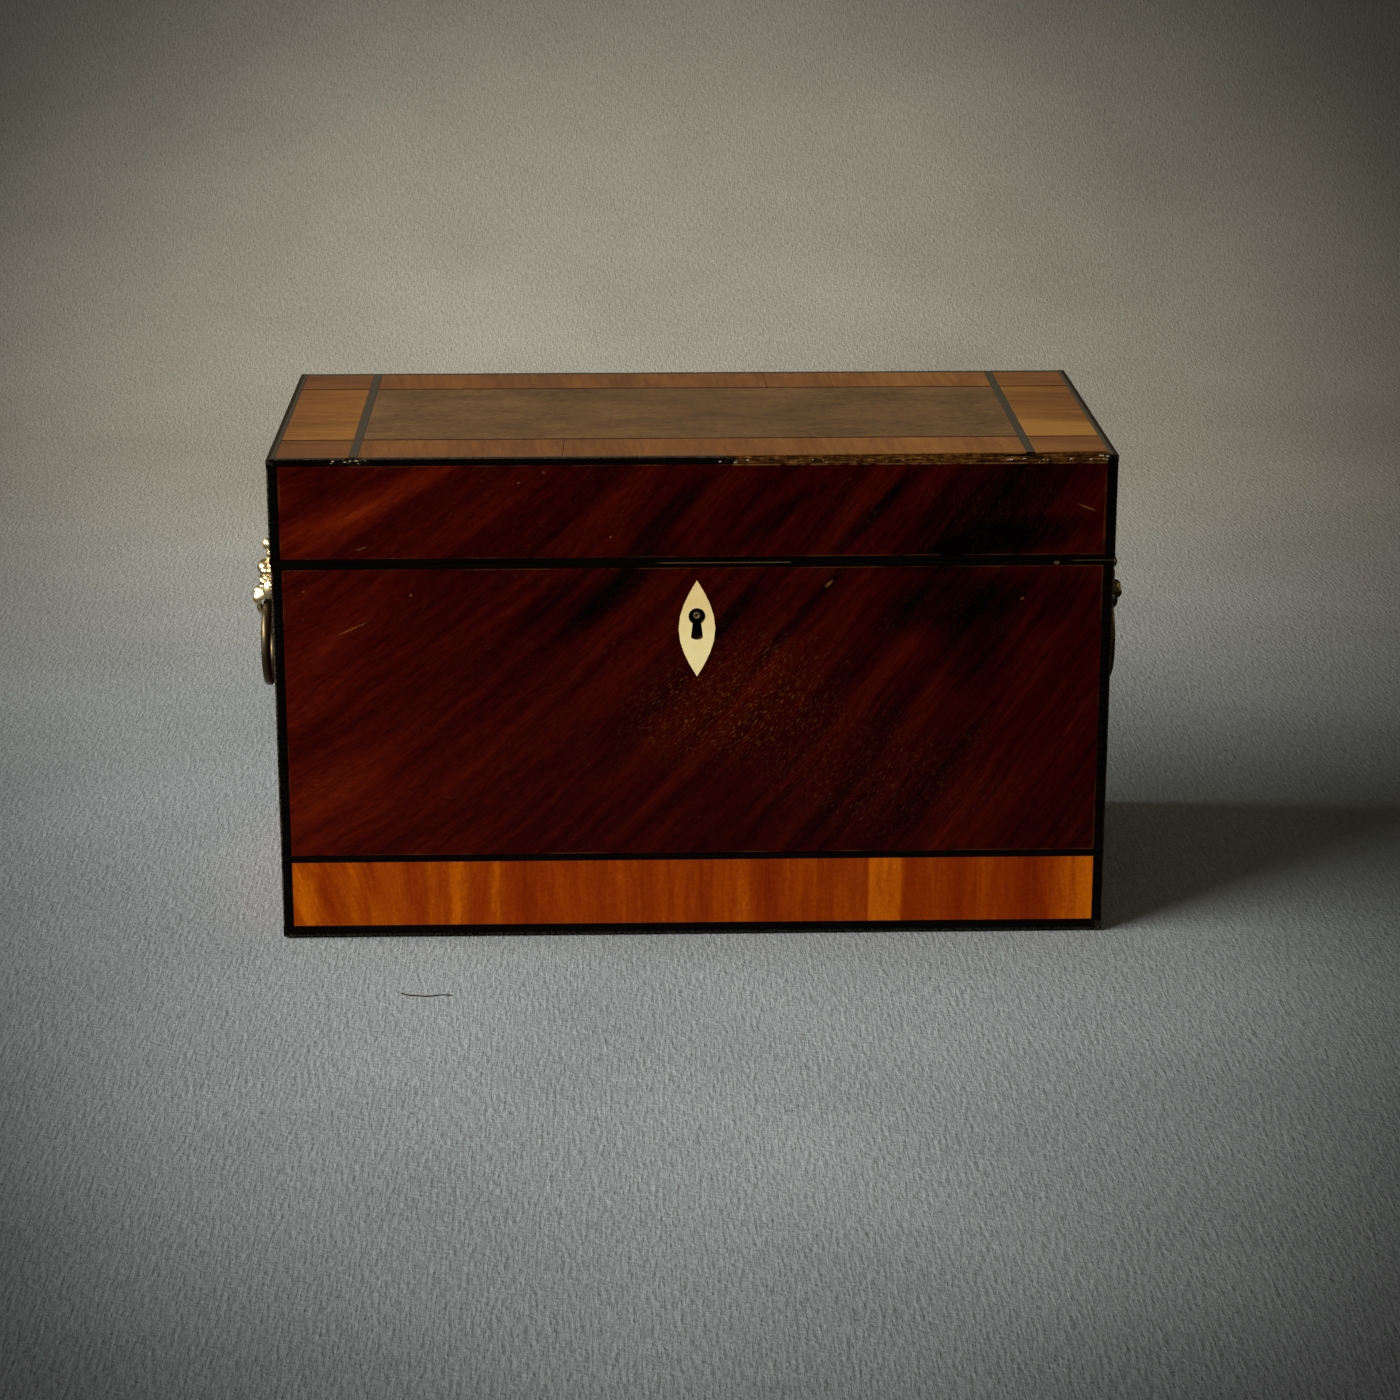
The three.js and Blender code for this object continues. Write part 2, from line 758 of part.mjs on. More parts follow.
// Ebony: corner strips, rim edging and the edging round the top, which is lost at the front
// from edgingLossStart to the right corner strip.
function lidEdging() {
  const loss = boxGeometry(
    [edgingLossStart, lidHalfWidth - cornerEdging],
    [-halfDepth - through, -halfDepth + topEdgingWidth + 0.4],
    [topEdgingBottom - 0.02, totalHeight + through],
  );
  return carve(
    [
      ...cornerPosts(lidHalfWidth, [lidBottom, totalHeight]),
      ...edgingFrame(lidHalfWidth, topEdgingWidth, [topEdgingBottom, totalHeight]),
      ...edgingFrame(lidHalfWidth, cornerEdging, [lidBottom, lidBottom + rimEdgingHeight]),
    ],
    [loss, ...leafPockets([lidBottom - through, lidBottom + leafThickness + 0.05])],
  );
}

// A top veneer between the given edges, notched where it meets the ebony corner strips.
function topVeneer(x, y) {
  const sheet = block(x, y, [topVeneerBottom, totalHeight]);
  const notchX = lidHalfWidth - cornerEdging - ease;
  const notchY = halfDepth - cornerEdging - ease;
  const notches = [-1, 1].flatMap((sideX) => [-1, 1].map((sideY) => boxGeometry(
    span(sideX * notchX, sideX * (lidHalfWidth + through)),
    span(sideY * notchY, sideY * (halfDepth + through)),
    [topVeneerBottom - through, totalHeight + through],
  )));
  return carve([sheet], notches);
}

function buildLidTop() {
  const endX = lidHalfWidth - topEdgingWidth;
  const edgeY = halfDepth - topEdgingWidth;
  const middleX = symmetric(crossStringInner);
  for (const [word, side] of [['left', -1], ['right', 1]]) {
    const end = topVeneer(span(side * crossStringOuter, side * endX), symmetric(edgeY));
    const string = topVeneer(
      span(side * crossStringInner, side * crossStringOuter),
      symmetric(edgeY),
    );
    addPiece(lidGroup, `lid_${word}_end`, end, satinwood);
    addPiece(lidGroup, `${word}_cross_string`, string, ebony);
  }
  addPiece(lidGroup, 'lid_front_band', topVeneer(middleX, [-edgeY, frontBandEdge]), satinwood);
  addPiece(lidGroup, 'lid_back_band', topVeneer(middleX, [backBandEdge, edgeY]), satinwood);
  const centre = topVeneer(middleX, [frontBandEdge, backBandEdge]);
  addPiece(lidGroup, 'lid_centre_panel', centre, fadedMahogany);
}

function buildLid() {
  const lining = block(
    symmetric(lidHalfWidth - wallDepth),
    symmetric(halfDepth - wallDepth),
    [lidCeiling - 1, lidCeiling],
  );
  addPiece(lidGroup, 'lid_front_rail', lidFrontRail(), pine);
  addPiece(lidGroup, 'lid_back_rail', lidBackRail(), pine);
  addPiece(lidGroup, 'lid_top_board', lidTopBoard(), pine);
  addPiece(lidGroup, 'lid_front_veneer', lidLongVeneer(-1), mahogany);
  addPiece(lidGroup, 'lid_back_veneer', lidLongVeneer(1), mahogany);
  addPiece(lidGroup, 'lid_edging', lidEdging(), ebony);
  addPiece(lidGroup, 'lid_lining', lining, velvet);
  for (const [word, side] of [['left', -1], ['right', 1]]) {
    const rail = carve(endBoard(side, lidHalfWidth, lidInner, lidTongue));
    addPiece(lidGroup, `lid_${word}_rail`, rail, pine);
    addPiece(lidGroup, `lid_${word}_veneer`, lidEndVeneer(side), mahogany);
  }
  buildLidTop();
}

// ---- Canisters ----

const canisterInnerX = partitionInside + partitionThickness + canisterClearance;
const canisterOuterX = wellHalfWidth - canisterClearance;
const canisterHalfDepth = wellHalfDepth - canisterClearance;
const canisterMiddle = (canisterInnerX + canisterOuterX) / 2;
const canisterFloor = baseEdgingTop;

// The canister's outer box drawn in on all four sides by `inset`.
function canisterBox(side, inset, heights) {
  return boxGeometry(
    span(side * (canisterInnerX + inset), side * (canisterOuterX - inset)),
    symmetric(canisterHalfDepth - inset),
    heights,
  );
}

function canisterBody(side) {
  return carve(
    [canisterBox(side, 0, [canisterFloor + 0.05, canisterTop])],
    [canisterBox(side, canisterWall, [canisterFloor + canisterWall, canisterTop + through])],
  );
}

function canisterFoil(side) {
  const gap = 0.05;
  const outside = canisterWall + gap;
  const bottom = canisterFloor + canisterWall + gap;
  return carve(
    [canisterBox(side, outside, [bottom, foilTop])],
    [canisterBox(side, outside + foilThickness, [bottom + foilThickness, foilTop + through])],
  );
}

// A flat lid with a plug that drops into the canister, and a hole for the knob's spigot.
function canisterLid(side) {
  const plugInset = canisterWall + 0.4;
  const lidTop = canisterTop + 0.1 + canisterLidThickness;
  return carve(
    [
      canisterBox(side, 0, [canisterTop + 0.1, lidTop]),
      canisterBox(side, plugInset, [foilTop + 0.3, canisterTop + 0.1 + lap]),
    ],
    [rodAlongZ(2.7, [canisterTop + 1, lidTop + through], side * canisterMiddle, 0)],
  );
}

function canisterKnob(side) {
  const base = canisterTop + 0.1 + canisterLidThickness;
  const profile = [
    [0, -2.6], [2.4, -2.6], [2.4, 0.05], [5.2, 0.05], [5.2, 1], [2.5, 2.6], [2.5, 3.8],
    [5.2, 5.2], [6.1, 7.4], [5.2, 9.8], [2.6, 11.3], [0, 11.7],
  ];
  return turned(profile, 16).translate(side * canisterMiddle, 0, base);
}

function buildCanisters() {
  for (const [word, side] of [['left', -1], ['right', 1]]) {
    addPiece(caseGroup, `${word}_canister`, canisterBody(side), mahogany);
    addPiece(caseGroup, `${word}_canister_foil`, canisterFoil(side), pewterFoil);
    addPiece(caseGroup, `${word}_canister_lid`, canisterLid(side), mahogany);
    addPiece(caseGroup, `${word}_canister_knob`, canisterKnob(side), bone);
  }
}

// ---- Bowl ----

// A blown glass bowl that hangs by its flared rim in the bowl board.
function glassBowl() {
  const seat = partitionTop + 0.1;
  const profile = [
    [0, 34], [25, 34], [26, 38], [24.5, 41], [31, 49], [38, 62], [42.5, 80], [45.6, seat],
    [49.5, seat], [50, seat + 4], [48, seat + 5], [45.6, seat + 3], [39.4, 80], [34.5, 62],
    [26, 49], [0, 45],
  ];
  return turned(profile, 24);
}

buildCase();
buildLock();
buildHinges();
buildHandles();
buildLid();
buildCanisters();
addPiece(caseGroup, 'glass_bowl', glassBowl(), glass);

export default caddy;
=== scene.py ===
"""The looks of a Georgian tea caddy, built around its CAD frame.

Lengths are millimetres until MM turns them into Blender's metres. The front of the caddy faces
-Y, and it stands on z = 0. Materials read object coordinates, which are row-frame metres.
"""

import math
import random

import bmesh
import bpy
import numpy as np
from mathutils import Matrix, Vector, noise


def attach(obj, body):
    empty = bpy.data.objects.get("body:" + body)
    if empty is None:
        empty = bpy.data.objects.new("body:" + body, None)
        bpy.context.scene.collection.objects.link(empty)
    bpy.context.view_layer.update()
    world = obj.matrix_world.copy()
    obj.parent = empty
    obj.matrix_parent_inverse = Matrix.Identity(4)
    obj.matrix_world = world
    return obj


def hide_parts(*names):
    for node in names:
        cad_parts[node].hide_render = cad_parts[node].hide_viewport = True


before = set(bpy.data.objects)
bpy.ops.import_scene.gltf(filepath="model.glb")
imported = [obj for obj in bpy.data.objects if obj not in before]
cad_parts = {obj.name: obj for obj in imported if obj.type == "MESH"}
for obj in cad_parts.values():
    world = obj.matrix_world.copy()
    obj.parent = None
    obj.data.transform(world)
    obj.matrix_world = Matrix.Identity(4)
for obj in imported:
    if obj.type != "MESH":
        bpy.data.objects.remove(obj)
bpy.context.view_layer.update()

# ---- Dimensions, in millimetres ----

MM = 0.001

HALF_WIDTH = 152.5
HALF_DEPTH = 77.5
LID_HALF_WIDTH = 152.9
TOTAL_HEIGHT = 182.2

POST = 4.0  # ebony strips at the vertical corners and round the lid joint
VENEER = 1.2
TOP_EDGING_WIDTH = 3.0
BASE_EDGING = (0.7, 5.0)  # heights of its bottom and top
BAND_TOP = 29.7
STRING_TOP = 32.5
CASE_RIM = (141.35, 143.25)
LID_RIM = (143.45, 145.35)
TOP_VENEER_BOTTOM = 181.0
TOP_EDGING_BOTTOM = 179.5
LOSS_START = 14.0  # the front top edging is broken away from here to the right corner
# How far back the veneers crumbled there, at three places along the front.
LOSS_DEPTH = ((LOSS_START, 118.0, 150.0), (0.15, 2.75, 3.9))

CROSS_STRING = (120.2, 123.5)
FRONT_STRING_Y = -45.5
BACK_STRING_Y = 46.5
FINE_STRING = 1.7
SHARP = 0.06  # radius of an edge that nobody touches
EDGE_RUB = 0.45  # how much further the most rubbed edges are rounded
SPLINTERS = 90
JOINT = 0.03  # half the gap that shows as a dark line between glued pieces

LOCK_X = 1.2
KEYHOLE_Z = 123.1
HANDLE_OUT = 9.0
HANDLE_Z = 108.5
RING_RADIUS = 15.2
RING_WIRE = 1.85
MOUTH_RADIUS = 2.9
MASK_Z = 119.5

HINGE_X = 95.0
CASE_TOP = 143.24  # heads of the screws in the case
LID_FOOT = 143.46  # heads of the screws in the lid

CAMERA_PLACE = (-0.0308, -1.2944, 0.4558)  # in metres
CAMERA_TURN = 1.558  # degrees to the right
CAMERA_TILT = 16.664  # degrees down
CAMERA_LENS = 89.4

CANISTER_X = 100.0
CANISTER_HALF_WIDTH = 39.4
CANISTER_HALF_DEPTH = 64.4
CANISTER_TOP = 126.1
BOXWOOD_INSET = 7.0

BAIZE_HALF = (150.0, 75.0)
LINING_HALF = (143.5, 68.1)
LINING_HEIGHTS = (172.97, 172.2)  # against the lid's top board, and the side that shows

SIDES = ((-1, "left"), (1, "right"))
ENDS = ((-1, "front"), (1, "back"))

# ---- Node materials ----


def sight_axes(turn, tilt):
    """Unit vectors ahead, right and up for a view turned about Z and tilted down, in degrees."""
    turn, tilt = math.radians(turn), math.radians(tilt)
    ahead = Vector((math.sin(turn) * math.cos(tilt), math.cos(turn) * math.cos(tilt), -math.sin(tilt)))
    right = Vector((math.cos(turn), -math.sin(turn), 0.0))
    return ahead, right, right.cross(ahead)


class Value:
    """What a node puts out: a number, colour or vector over the surface, with arithmetic."""

    def __init__(self, finish, socket):
        self.finish = finish
        self.socket = socket

    def __abs__(self):
        return self.finish.do("ABSOLUTE", self)

    def __add__(self, other):
        return self.finish.do("ADD", self, other)

    def __sub__(self, other):
        return self.finish.do("SUBTRACT", self, other)

    def __rsub__(self, other):
        return self.finish.do("SUBTRACT", other, self)

    def __mul__(self, other):
        return self.finish.do("MULTIPLY", self, other)

    def __truediv__(self, other):
        return self.finish.do("DIVIDE", self, other)

    __radd__ = __add__


class Finish:
    """One node material. Its methods add nodes; their inputs may be numbers or Values."""

    def __init__(self, name):
        self.material = bpy.data.materials.new(name)
        self.material.use_nodes = True
        self.tree = self.material.node_tree
        self.tree.nodes.clear()
        self.shader = self.node("ShaderNodeBsdfPrincipled")
        output = self.node("ShaderNodeOutputMaterial")
        self.tree.links.new(self.shader.outputs["BSDF"], output.inputs["Surface"])
        coordinates = self.node("ShaderNodeTexCoord")
        self.place = Value(self, coordinates.outputs["Object"])
        self.x, self.y, self.z = self.split(self.place)
        self.facing = self.split(Value(self, coordinates.outputs["Normal"]))

    def node(self, kind, inputs=None, **settings):
        """Adds a node and feeds its inputs, which are given by name or by number."""
        made = self.tree.nodes.new(kind)
        for key, value in settings.items():
            setattr(made, key, value)
        for key, value in (inputs or {}).items():
            self.feed(made.inputs[key], value)
        return made

    def value(self, kind, inputs, output=0, **settings):
        return Value(self, self.node(kind, inputs, **settings).outputs[output])

    def feed(self, socket, value):
        if isinstance(value, Value):
            self.tree.links.new(value.socket, socket)
        elif socket.type == "RGBA" and len(value) == 3:
            socket.default_value = (*value, 1.0)
        else:
            socket.default_value = value

    def split(self, vector):
        made = self.node("ShaderNodeSeparateXYZ", {0: vector})
        return [Value(self, socket) for socket in made.outputs]

    def join(self, x, y, z=0.0):
        return self.value("ShaderNodeCombineXYZ", {0: x, 1: y, 2: z})

    def do(self, operation, a, b=0.0):
        return self.value("ShaderNodeMath", {0: a, 1: b}, operation=operation)

    def least(self, a, b):
        return self.do("MINIMUM", a, b)

    def fade(self, value, start, end, low=0.0, high=1.0):
        """`low` before start, `high` after end, and smooth between them. End may be below start."""
        inputs = dict(enumerate((value, start, end, low, high)))
        return self.value("ShaderNodeMapRange", inputs, interpolation_type="SMOOTHSTEP")

    def near(self, value, place, start, end):
        """0 to 1 between two distances from a place, all in millimetres."""
        return self.fade(value, (place + start) * MM, (place + end) * MM)

    def vary(self, value, low, high):
        """A level that follows a noise from `low` to `high`."""
        return self.fade(value, 0.3, 0.7, low, high)

    def noise(self, vector, scale=1.0, detail=4.0, roughness=0.55, distortion=0.0):
        return self.value("ShaderNodeTexNoise", {
            "Vector": vector, "Scale": scale, "Detail": detail, "Roughness": roughness,
            "Distortion": distortion})

    def wobble(self, scale, size):
        """A smooth random offset of up to about `size` either way."""
        return (self.noise(self.place, scale, 2.0) - 0.5) * (2 * size)

    def streaks(self, across, along, fineness, stretch, seed=0.0, detail=4.0):
        """Noise drawn out along the grain, `fineness` streaks to the metre."""
        return self.noise(self.join(across * fineness, along * (fineness / stretch), seed), 1.0, detail)

    def ramp(self, value, stops):
        made = self.node("ShaderNodeValToRGB", {0: value})
        elements = made.color_ramp.elements
        while len(elements) < len(stops):
            elements.new(0.5)
        for element, (position, colour) in zip(elements, stops):
            element.position = position
            element.color = (*colour, 1.0)
        return Value(self, made.outputs[0])

    def mix(self, factor, a, b):
        inputs = {0: factor, 6: a, 7: b}
        return self.value("ShaderNodeMix", inputs, 2, data_type="RGBA")

    def choose(self, factor, a, b):
        """The number a where factor is 0, and b where it is 1."""
        return self.value("ShaderNodeMix", {0: factor, 2: a, 3: b}, data_type="FLOAT")

    def spot(self, u, v, centre, radii, tilt=0.0):
        """1 at the centre of an ellipse in millimetres, falling to 0 at its edge."""
        place = self.value("ShaderNodeMapping", {
            "Vector": self.join(u, v),
            "Location": (centre[0] * MM, centre[1] * MM, 0),
            "Rotation": (0, 0, math.radians(tilt)),
            "Scale": (radii[0] * MM, radii[1] * MM, 1),
        }, vector_type="TEXTURE")
        ball = self.value("ShaderNodeTexGradient", {0: place}, "Fac", gradient_type="SPHERICAL")
        return self.fade(ball, 0.0, 0.7)

    def sight(self, place, turn, tilt):
        """How far a point lies to the right of and above a line of sight, as a share of its
        distance along it."""
        inputs = {0: self.place, 1: place}
        to_point = self.value("ShaderNodeVectorMath", inputs, operation="SUBTRACT")
        distance, right, up = [
            self.value("ShaderNodeVectorMath", {0: to_point, 1: axis}, "Value", operation="DOT_PRODUCT")
            for axis in sight_axes(turn, tilt)
        ]
        return right / distance, up / distance

    def attribute(self, name):
        return self.value("ShaderNodeAttribute", {}, "Fac", attribute_name=name)

    def done(self, colour, roughness, relief, depth, specular=0.5, **others):
        """Sets the shader's inputs and returns the material. The full range of `relief` stands
        `depth` millimetres high. Other inputs go by name, with _ for spaces."""
        bump = {"Strength": 1.0, "Distance": depth * MM, "Height": relief}
        inputs = {
            "Base Color": colour,
            "Roughness": roughness,
            "Normal": self.value("ShaderNodeBump", bump),
            "Specular IOR Level": specular,
        }
        inputs.update((key.replace("_", " "), value) for key, value in others.items())
        for key, value in inputs.items():
            self.feed(self.shader.inputs[key], value)
        return self.material


# Lights and darks of the front's figure: middle, radii, tilt in degrees, and change of tone.
FRONT_FIGURE = [
    ((-118, 166), (62, 7), 23, 0.13),
    ((-130, 156), (34, 8), 23, 0.09),
    ((-136, 174), (18, 8), 20, -0.07),
    ((-60, 172), (50, 10), 32, 0.03),
    ((-9, 161), (32, 5), 48, -0.13),
    ((28, 159), (32, 5), 36, -0.11),
    ((65, 161), (32, 4), 46, -0.13),
    ((112, 150), (42, 10), 14, -0.20),
    ((110, 166), (62, 20), 30, -0.13),
    ((-28, 133), (36, 7), 42, -0.17),
    ((-52, 130), (28, 5), 38, -0.10),
    ((14, 124), (28, 4), 50, -0.12),
    ((40, 124), (36, 4), 49, -0.13),
    ((92, 128), (36, 15), 12, -0.15),
    ((104, 112), (26, 16), 60, -0.12),
    ((128, 130), (26, 16), 0, -0.07),
    ((-132, 52), (46, 26), 30, 0.05),
    ((60, 60), (60, 12), 62, -0.05),
]

# Pale nicks and short scratches in the front's polish: middle, radii and tilt in degrees.
FRONT_NICKS = [
    ((49.0, 135.0), (2.4, 0.9), 45),
    ((119.4, 129.0), (0.9, 0.6), 20),
    ((142.0, 162.8), (5.0, 0.4), -22),
    ((-53.6, 176.9), (0.8, 0.7), 0),
    ((-62.7, 173.1), (0.6, 0.5), 0),
    ((-30.0, 153.0), (0.6, 0.5), 30),
    ((-102.3, 131.8), (0.7, 0.7), 0),
    ((-140.8, 133.3), (0.8, 0.4), 0),
    ((-119.7, 149.2), (2.6, 0.4), 20),
    ((-123.5, 119.4), (8.0, 0.4), 24),
]


def flame_mahogany(name, across_front, half_length, specular):
    """Flame figure that rises to the right, dark in broad streaks, with gold flecks in its pores."""
    f = Finish(name)
    u = f.x if across_front else f.y
    slope = u * 1.08 + u * u * 1.5
    across = f.z - slope + f.wobble(14.0, 0.006) + f.wobble(60.0, 0.0015)
    along = u * 0.75 + f.z * 0.66
    broad = f.streaks(across, along, 52.0, 8.0, 3.1, 3.0)
    medium = f.streaks(across, along, 190.0, 12.0, 7.7)
    fine = f.streaks(across, along, 1100.0, 22.0, 1.3, 3.0)
    grit = f.streaks(across, along, 1700.0, 4.0, 5.2, 2.0)
    mottle = f.noise(f.join(across, along * 0.4), 520.0, 5.0, 0.65)
    patches = f.noise(f.place, 70.0, 3.0)
    tone = broad * 0.36 + medium * 0.26 + fine * 0.14 + mottle * 0.24
    golden = f.fade(patches, 0.50, 0.70) * 0.25
    if across_front:
        tone += f.fade(u, -0.02, -0.15, 0.0, 0.07)
        tone = sum((f.spot(u, f.z, *spot) * shift for *spot, shift in FRONT_FIGURE), tone)
        golden += f.spot(u, f.z, (14, 92), (52, 30), 20) * 1.1
        golden += f.spot(u, f.z, (58, 66), (60, 34), -20) * 0.5
    else:
        golden += 0.2
    colour = f.ramp(tone, [
        (0.30, (0.0006, 0.0001, 0.0001)),
        (0.42, (0.0085, 0.0002, 0.0001)),
        (0.52, (0.022, 0.0007, 0.0002)),
        (0.62, (0.045, 0.0025, 0.0003)),
        (0.74, (0.085, 0.0065, 0.0005)),
        (0.86, (0.150, 0.0190, 0.0010)),
    ])
    flecks = f.fade(grit, 0.57, 0.70) * (golden * 0.5)
    colour = f.mix(flecks, colour, (0.150, 0.052, 0.006))
    edge = half_length * MM - abs(u)
    for height in (STRING_TOP, CASE_RIM[0], LID_RIM[1], TOP_EDGING_BOTTOM):
        edge = f.least(edge, abs(f.z - height * MM))
    rubbed = f.near(edge, 0.0, 0.6, 0.2) * f.fade(patches, 0.45, 0.68)
    colour = f.mix(rubbed * 0.32, colour, (0.12, 0.040, 0.006))
    if across_front:
        torn_line = f.near(f.z, TOP_EDGING_BOTTOM, -0.65, -0.2) * f.near(u, LOSS_START, -0.5, 0.5)
        torn_line *= f.fade(f.noise(f.place, 300.0, 4.0), 0.36, 0.60)
        colour = f.mix(torn_line * 0.75, colour, (0.130, 0.066, 0.018))
        nicks = sum(f.spot(u, f.z, *nick) for nick in FRONT_NICKS)
        broken_up = f.fade(f.noise(f.place, 1800.0, 3.0), 0.38, 0.56, 0.15, 0.6)
        colour = f.mix(nicks * broken_up, colour, (0.20, 0.085, 0.016))
    relief = grit * 0.6 + broad * 0.8 + f.noise(f.place, 25.0) * 1.2
    return f.done(colour, f.vary(medium, 0.26, 0.38), relief, 0.05, specular)


def plain_wood(name, dark, mid, light, rough=(0.38, 0.55), specular=0.3, relief=0.05, inlay=None):
    """Straight-grained boards. The grain runs along Y on faces that look along X, else along X."""
    f = Finish(name)
    looks_x = f.fade(abs(f.facing[0]), 0.6, 0.8)
    along = f.choose(looks_x, f.x, f.y)
    across = f.z + f.choose(looks_x, f.y, f.x) + f.wobble(9.0, 0.004)
    broad = f.streaks(across, along, 60.0, 14.0, 2.0, 3.0)
    fine = f.streaks(across, along, 620.0, 30.0, 6.0)
    pores = f.streaks(across, along, 2100.0, 16.0, 9.0, 2.0)
    colour = f.ramp(broad * 0.6 + fine * 0.4, [(0.32, dark), (0.5, mid), (0.68, light)])
    pitted = f.fade(pores, 0.64, 0.72)
    colour = f.mix(pitted * 0.6, colour, tuple(c * 0.3 for c in dark))
    grime = f.fade(f.noise(f.place, 16.0, 5.0), 0.5, 0.75)
    colour = f.mix(grime * 0.35, colour, tuple(c * 0.5 for c in dark))
    if inlay:
        colour = f.mix(inlay(f), colour, (0.42, 0.27, 0.10))
    height = fine * 0.6 + pitted * -0.8
    return f.done(colour, f.vary(fine, *rough), height, relief, specular)


def boxwood_line(f):
    """1 on the line of boxwood let in round the top of a canister lid."""
    from_side = CANISTER_HALF_WIDTH * MM - abs(abs(f.x) - CANISTER_X * MM)
    from_end = CANISTER_HALF_DEPTH * MM - abs(f.y)
    from_line = abs(f.least(from_side, from_end) - BOXWOOD_INSET * MM)
    return f.near(from_line, 0.0, 0.6, 0.5) * f.near(f.z, CANISTER_TOP, -0.3, -0.1)


ORANGE = [(0.125, 0.0100, 0.0002), (0.190, 0.0215, 0.0003), (0.260, 0.0410, 0.0004),
          (0.430, 0.0950, 0.0010)]
FADED_ORANGE = [(0.070, 0.0210, 0.0035), (0.105, 0.0350, 0.0058), (0.140, 0.0500, 0.0080),
                (0.195, 0.0780, 0.0130)]
FADED_GOLD = [(0.070, 0.0220, 0.0030), (0.125, 0.0430, 0.0055), (0.185, 0.0730, 0.0090),
              (0.250, 0.1080, 0.0160)]


def satinwood(name, lengthwise, palette, figure, specular=0.04, relief=0.018, shade=None):
    """Satinwood crossbanding. `lengthwise` says which axis the grain runs along, `figure` gives
    changes of tone across the caddy's width, and `shade` adds one of its own."""
    f = Finish(name)
    axes = {"x": (f.y, f.x), "y": (f.x, f.y), "z": (f.x + f.y, f.z)}
    across, along = axes[lengthwise]
    lean = f.fade(f.x, -0.09, -0.148, 0.0, 0.4) if lengthwise == "z" else 0.06
    across = across + along * lean + f.wobble(30.0, 0.0016) + f.wobble(120.0, 0.0004)
    broad = f.streaks(across, along, 75.0, 6.0, 4.0, 3.0)
    medium = f.streaks(across, along, 420.0, 14.0, 8.0)
    fine = f.streaks(across, along, 2000.0, 22.0, 2.0, 2.0)
    mottle = f.noise(f.place, 700.0, 4.0, 0.6)
    tone = broad * 0.38 + medium * 0.26 + fine * 0.14 + mottle * 0.22
    width = 2 * HALF_WIDTH
    stops = [((x + HALF_WIDTH) / width, [0.5 + shift] * 3) for x, shift in figure]
    tone = tone + f.ramp((f.x + HALF_WIDTH * MM) * (1 / (width * MM)), stops) - 0.5
    if shade:
        tone += shade(f)
    colour = f.ramp(tone, list(zip((0.28, 0.44, 0.56, 0.72), palette)))
    roughness = f.vary(medium, 0.27, 0.36)
    height = medium * 0.5 + fine * 0.4
    return f.done(colour, roughness, height, relief, specular)


def end_panel_shade(f):
    """The right end panel is browner behind and golden in front; the left one has a dark streak."""
    edge = f.y + f.x * 0.10 + f.wobble(30.0, 0.006)
    right = f.fade(edge, 0.000, -0.012, -0.08, 0.20) * f.fade(f.x, 0.0, 0.01)
    streak = abs(f.y + 0.016 + f.wobble(40.0, 0.003))
    left = f.fade(streak, 0.006, 0.001, 0.08, 0.00) * f.fade(f.x, 0.0, -0.01)
    return right + left


def faded_top(name):
    """Mahogany bleached to an even olive brown, with dull scuffed polish."""
    f = Finish(name)
    across = f.y + f.wobble(12.0, 0.003)
    broad = f.streaks(across, f.x, 45.0, 9.0, 1.0, 3.0)
    medium = f.streaks(across, f.x, 330.0, 12.0, 3.0)
    fine = f.streaks(across, f.x, 1300.0, 24.0, 5.0)
    clouds = f.noise(f.place, 40.0, 5.0)
    mottle = f.noise(f.place, 420.0, 4.0, 0.6)
    tone = broad * 0.10 + medium * 0.18 + fine * 0.18 + clouds * 0.22 + mottle * 0.32
    colour = f.ramp(tone, [
        (0.40, (0.052, 0.0250, 0.0065)),
        (0.50, (0.085, 0.0415, 0.0100)),
        (0.60, (0.122, 0.0590, 0.0130)),
    ])
    scuffs = f.streaks(f.x + f.y * 0.9, f.y, 700.0, 24.0, 3.0, 2.0)
    colour = f.mix(f.fade(scuffs, 0.74, 0.80, 0.0, 0.5), colour, (0.02, 0.004, 0.002))
    roughness = f.fade(clouds, 0.35, 0.65, 0.38, 0.52)
    return f.done(colour, roughness, fine * 0.5 + medium, 0.03)


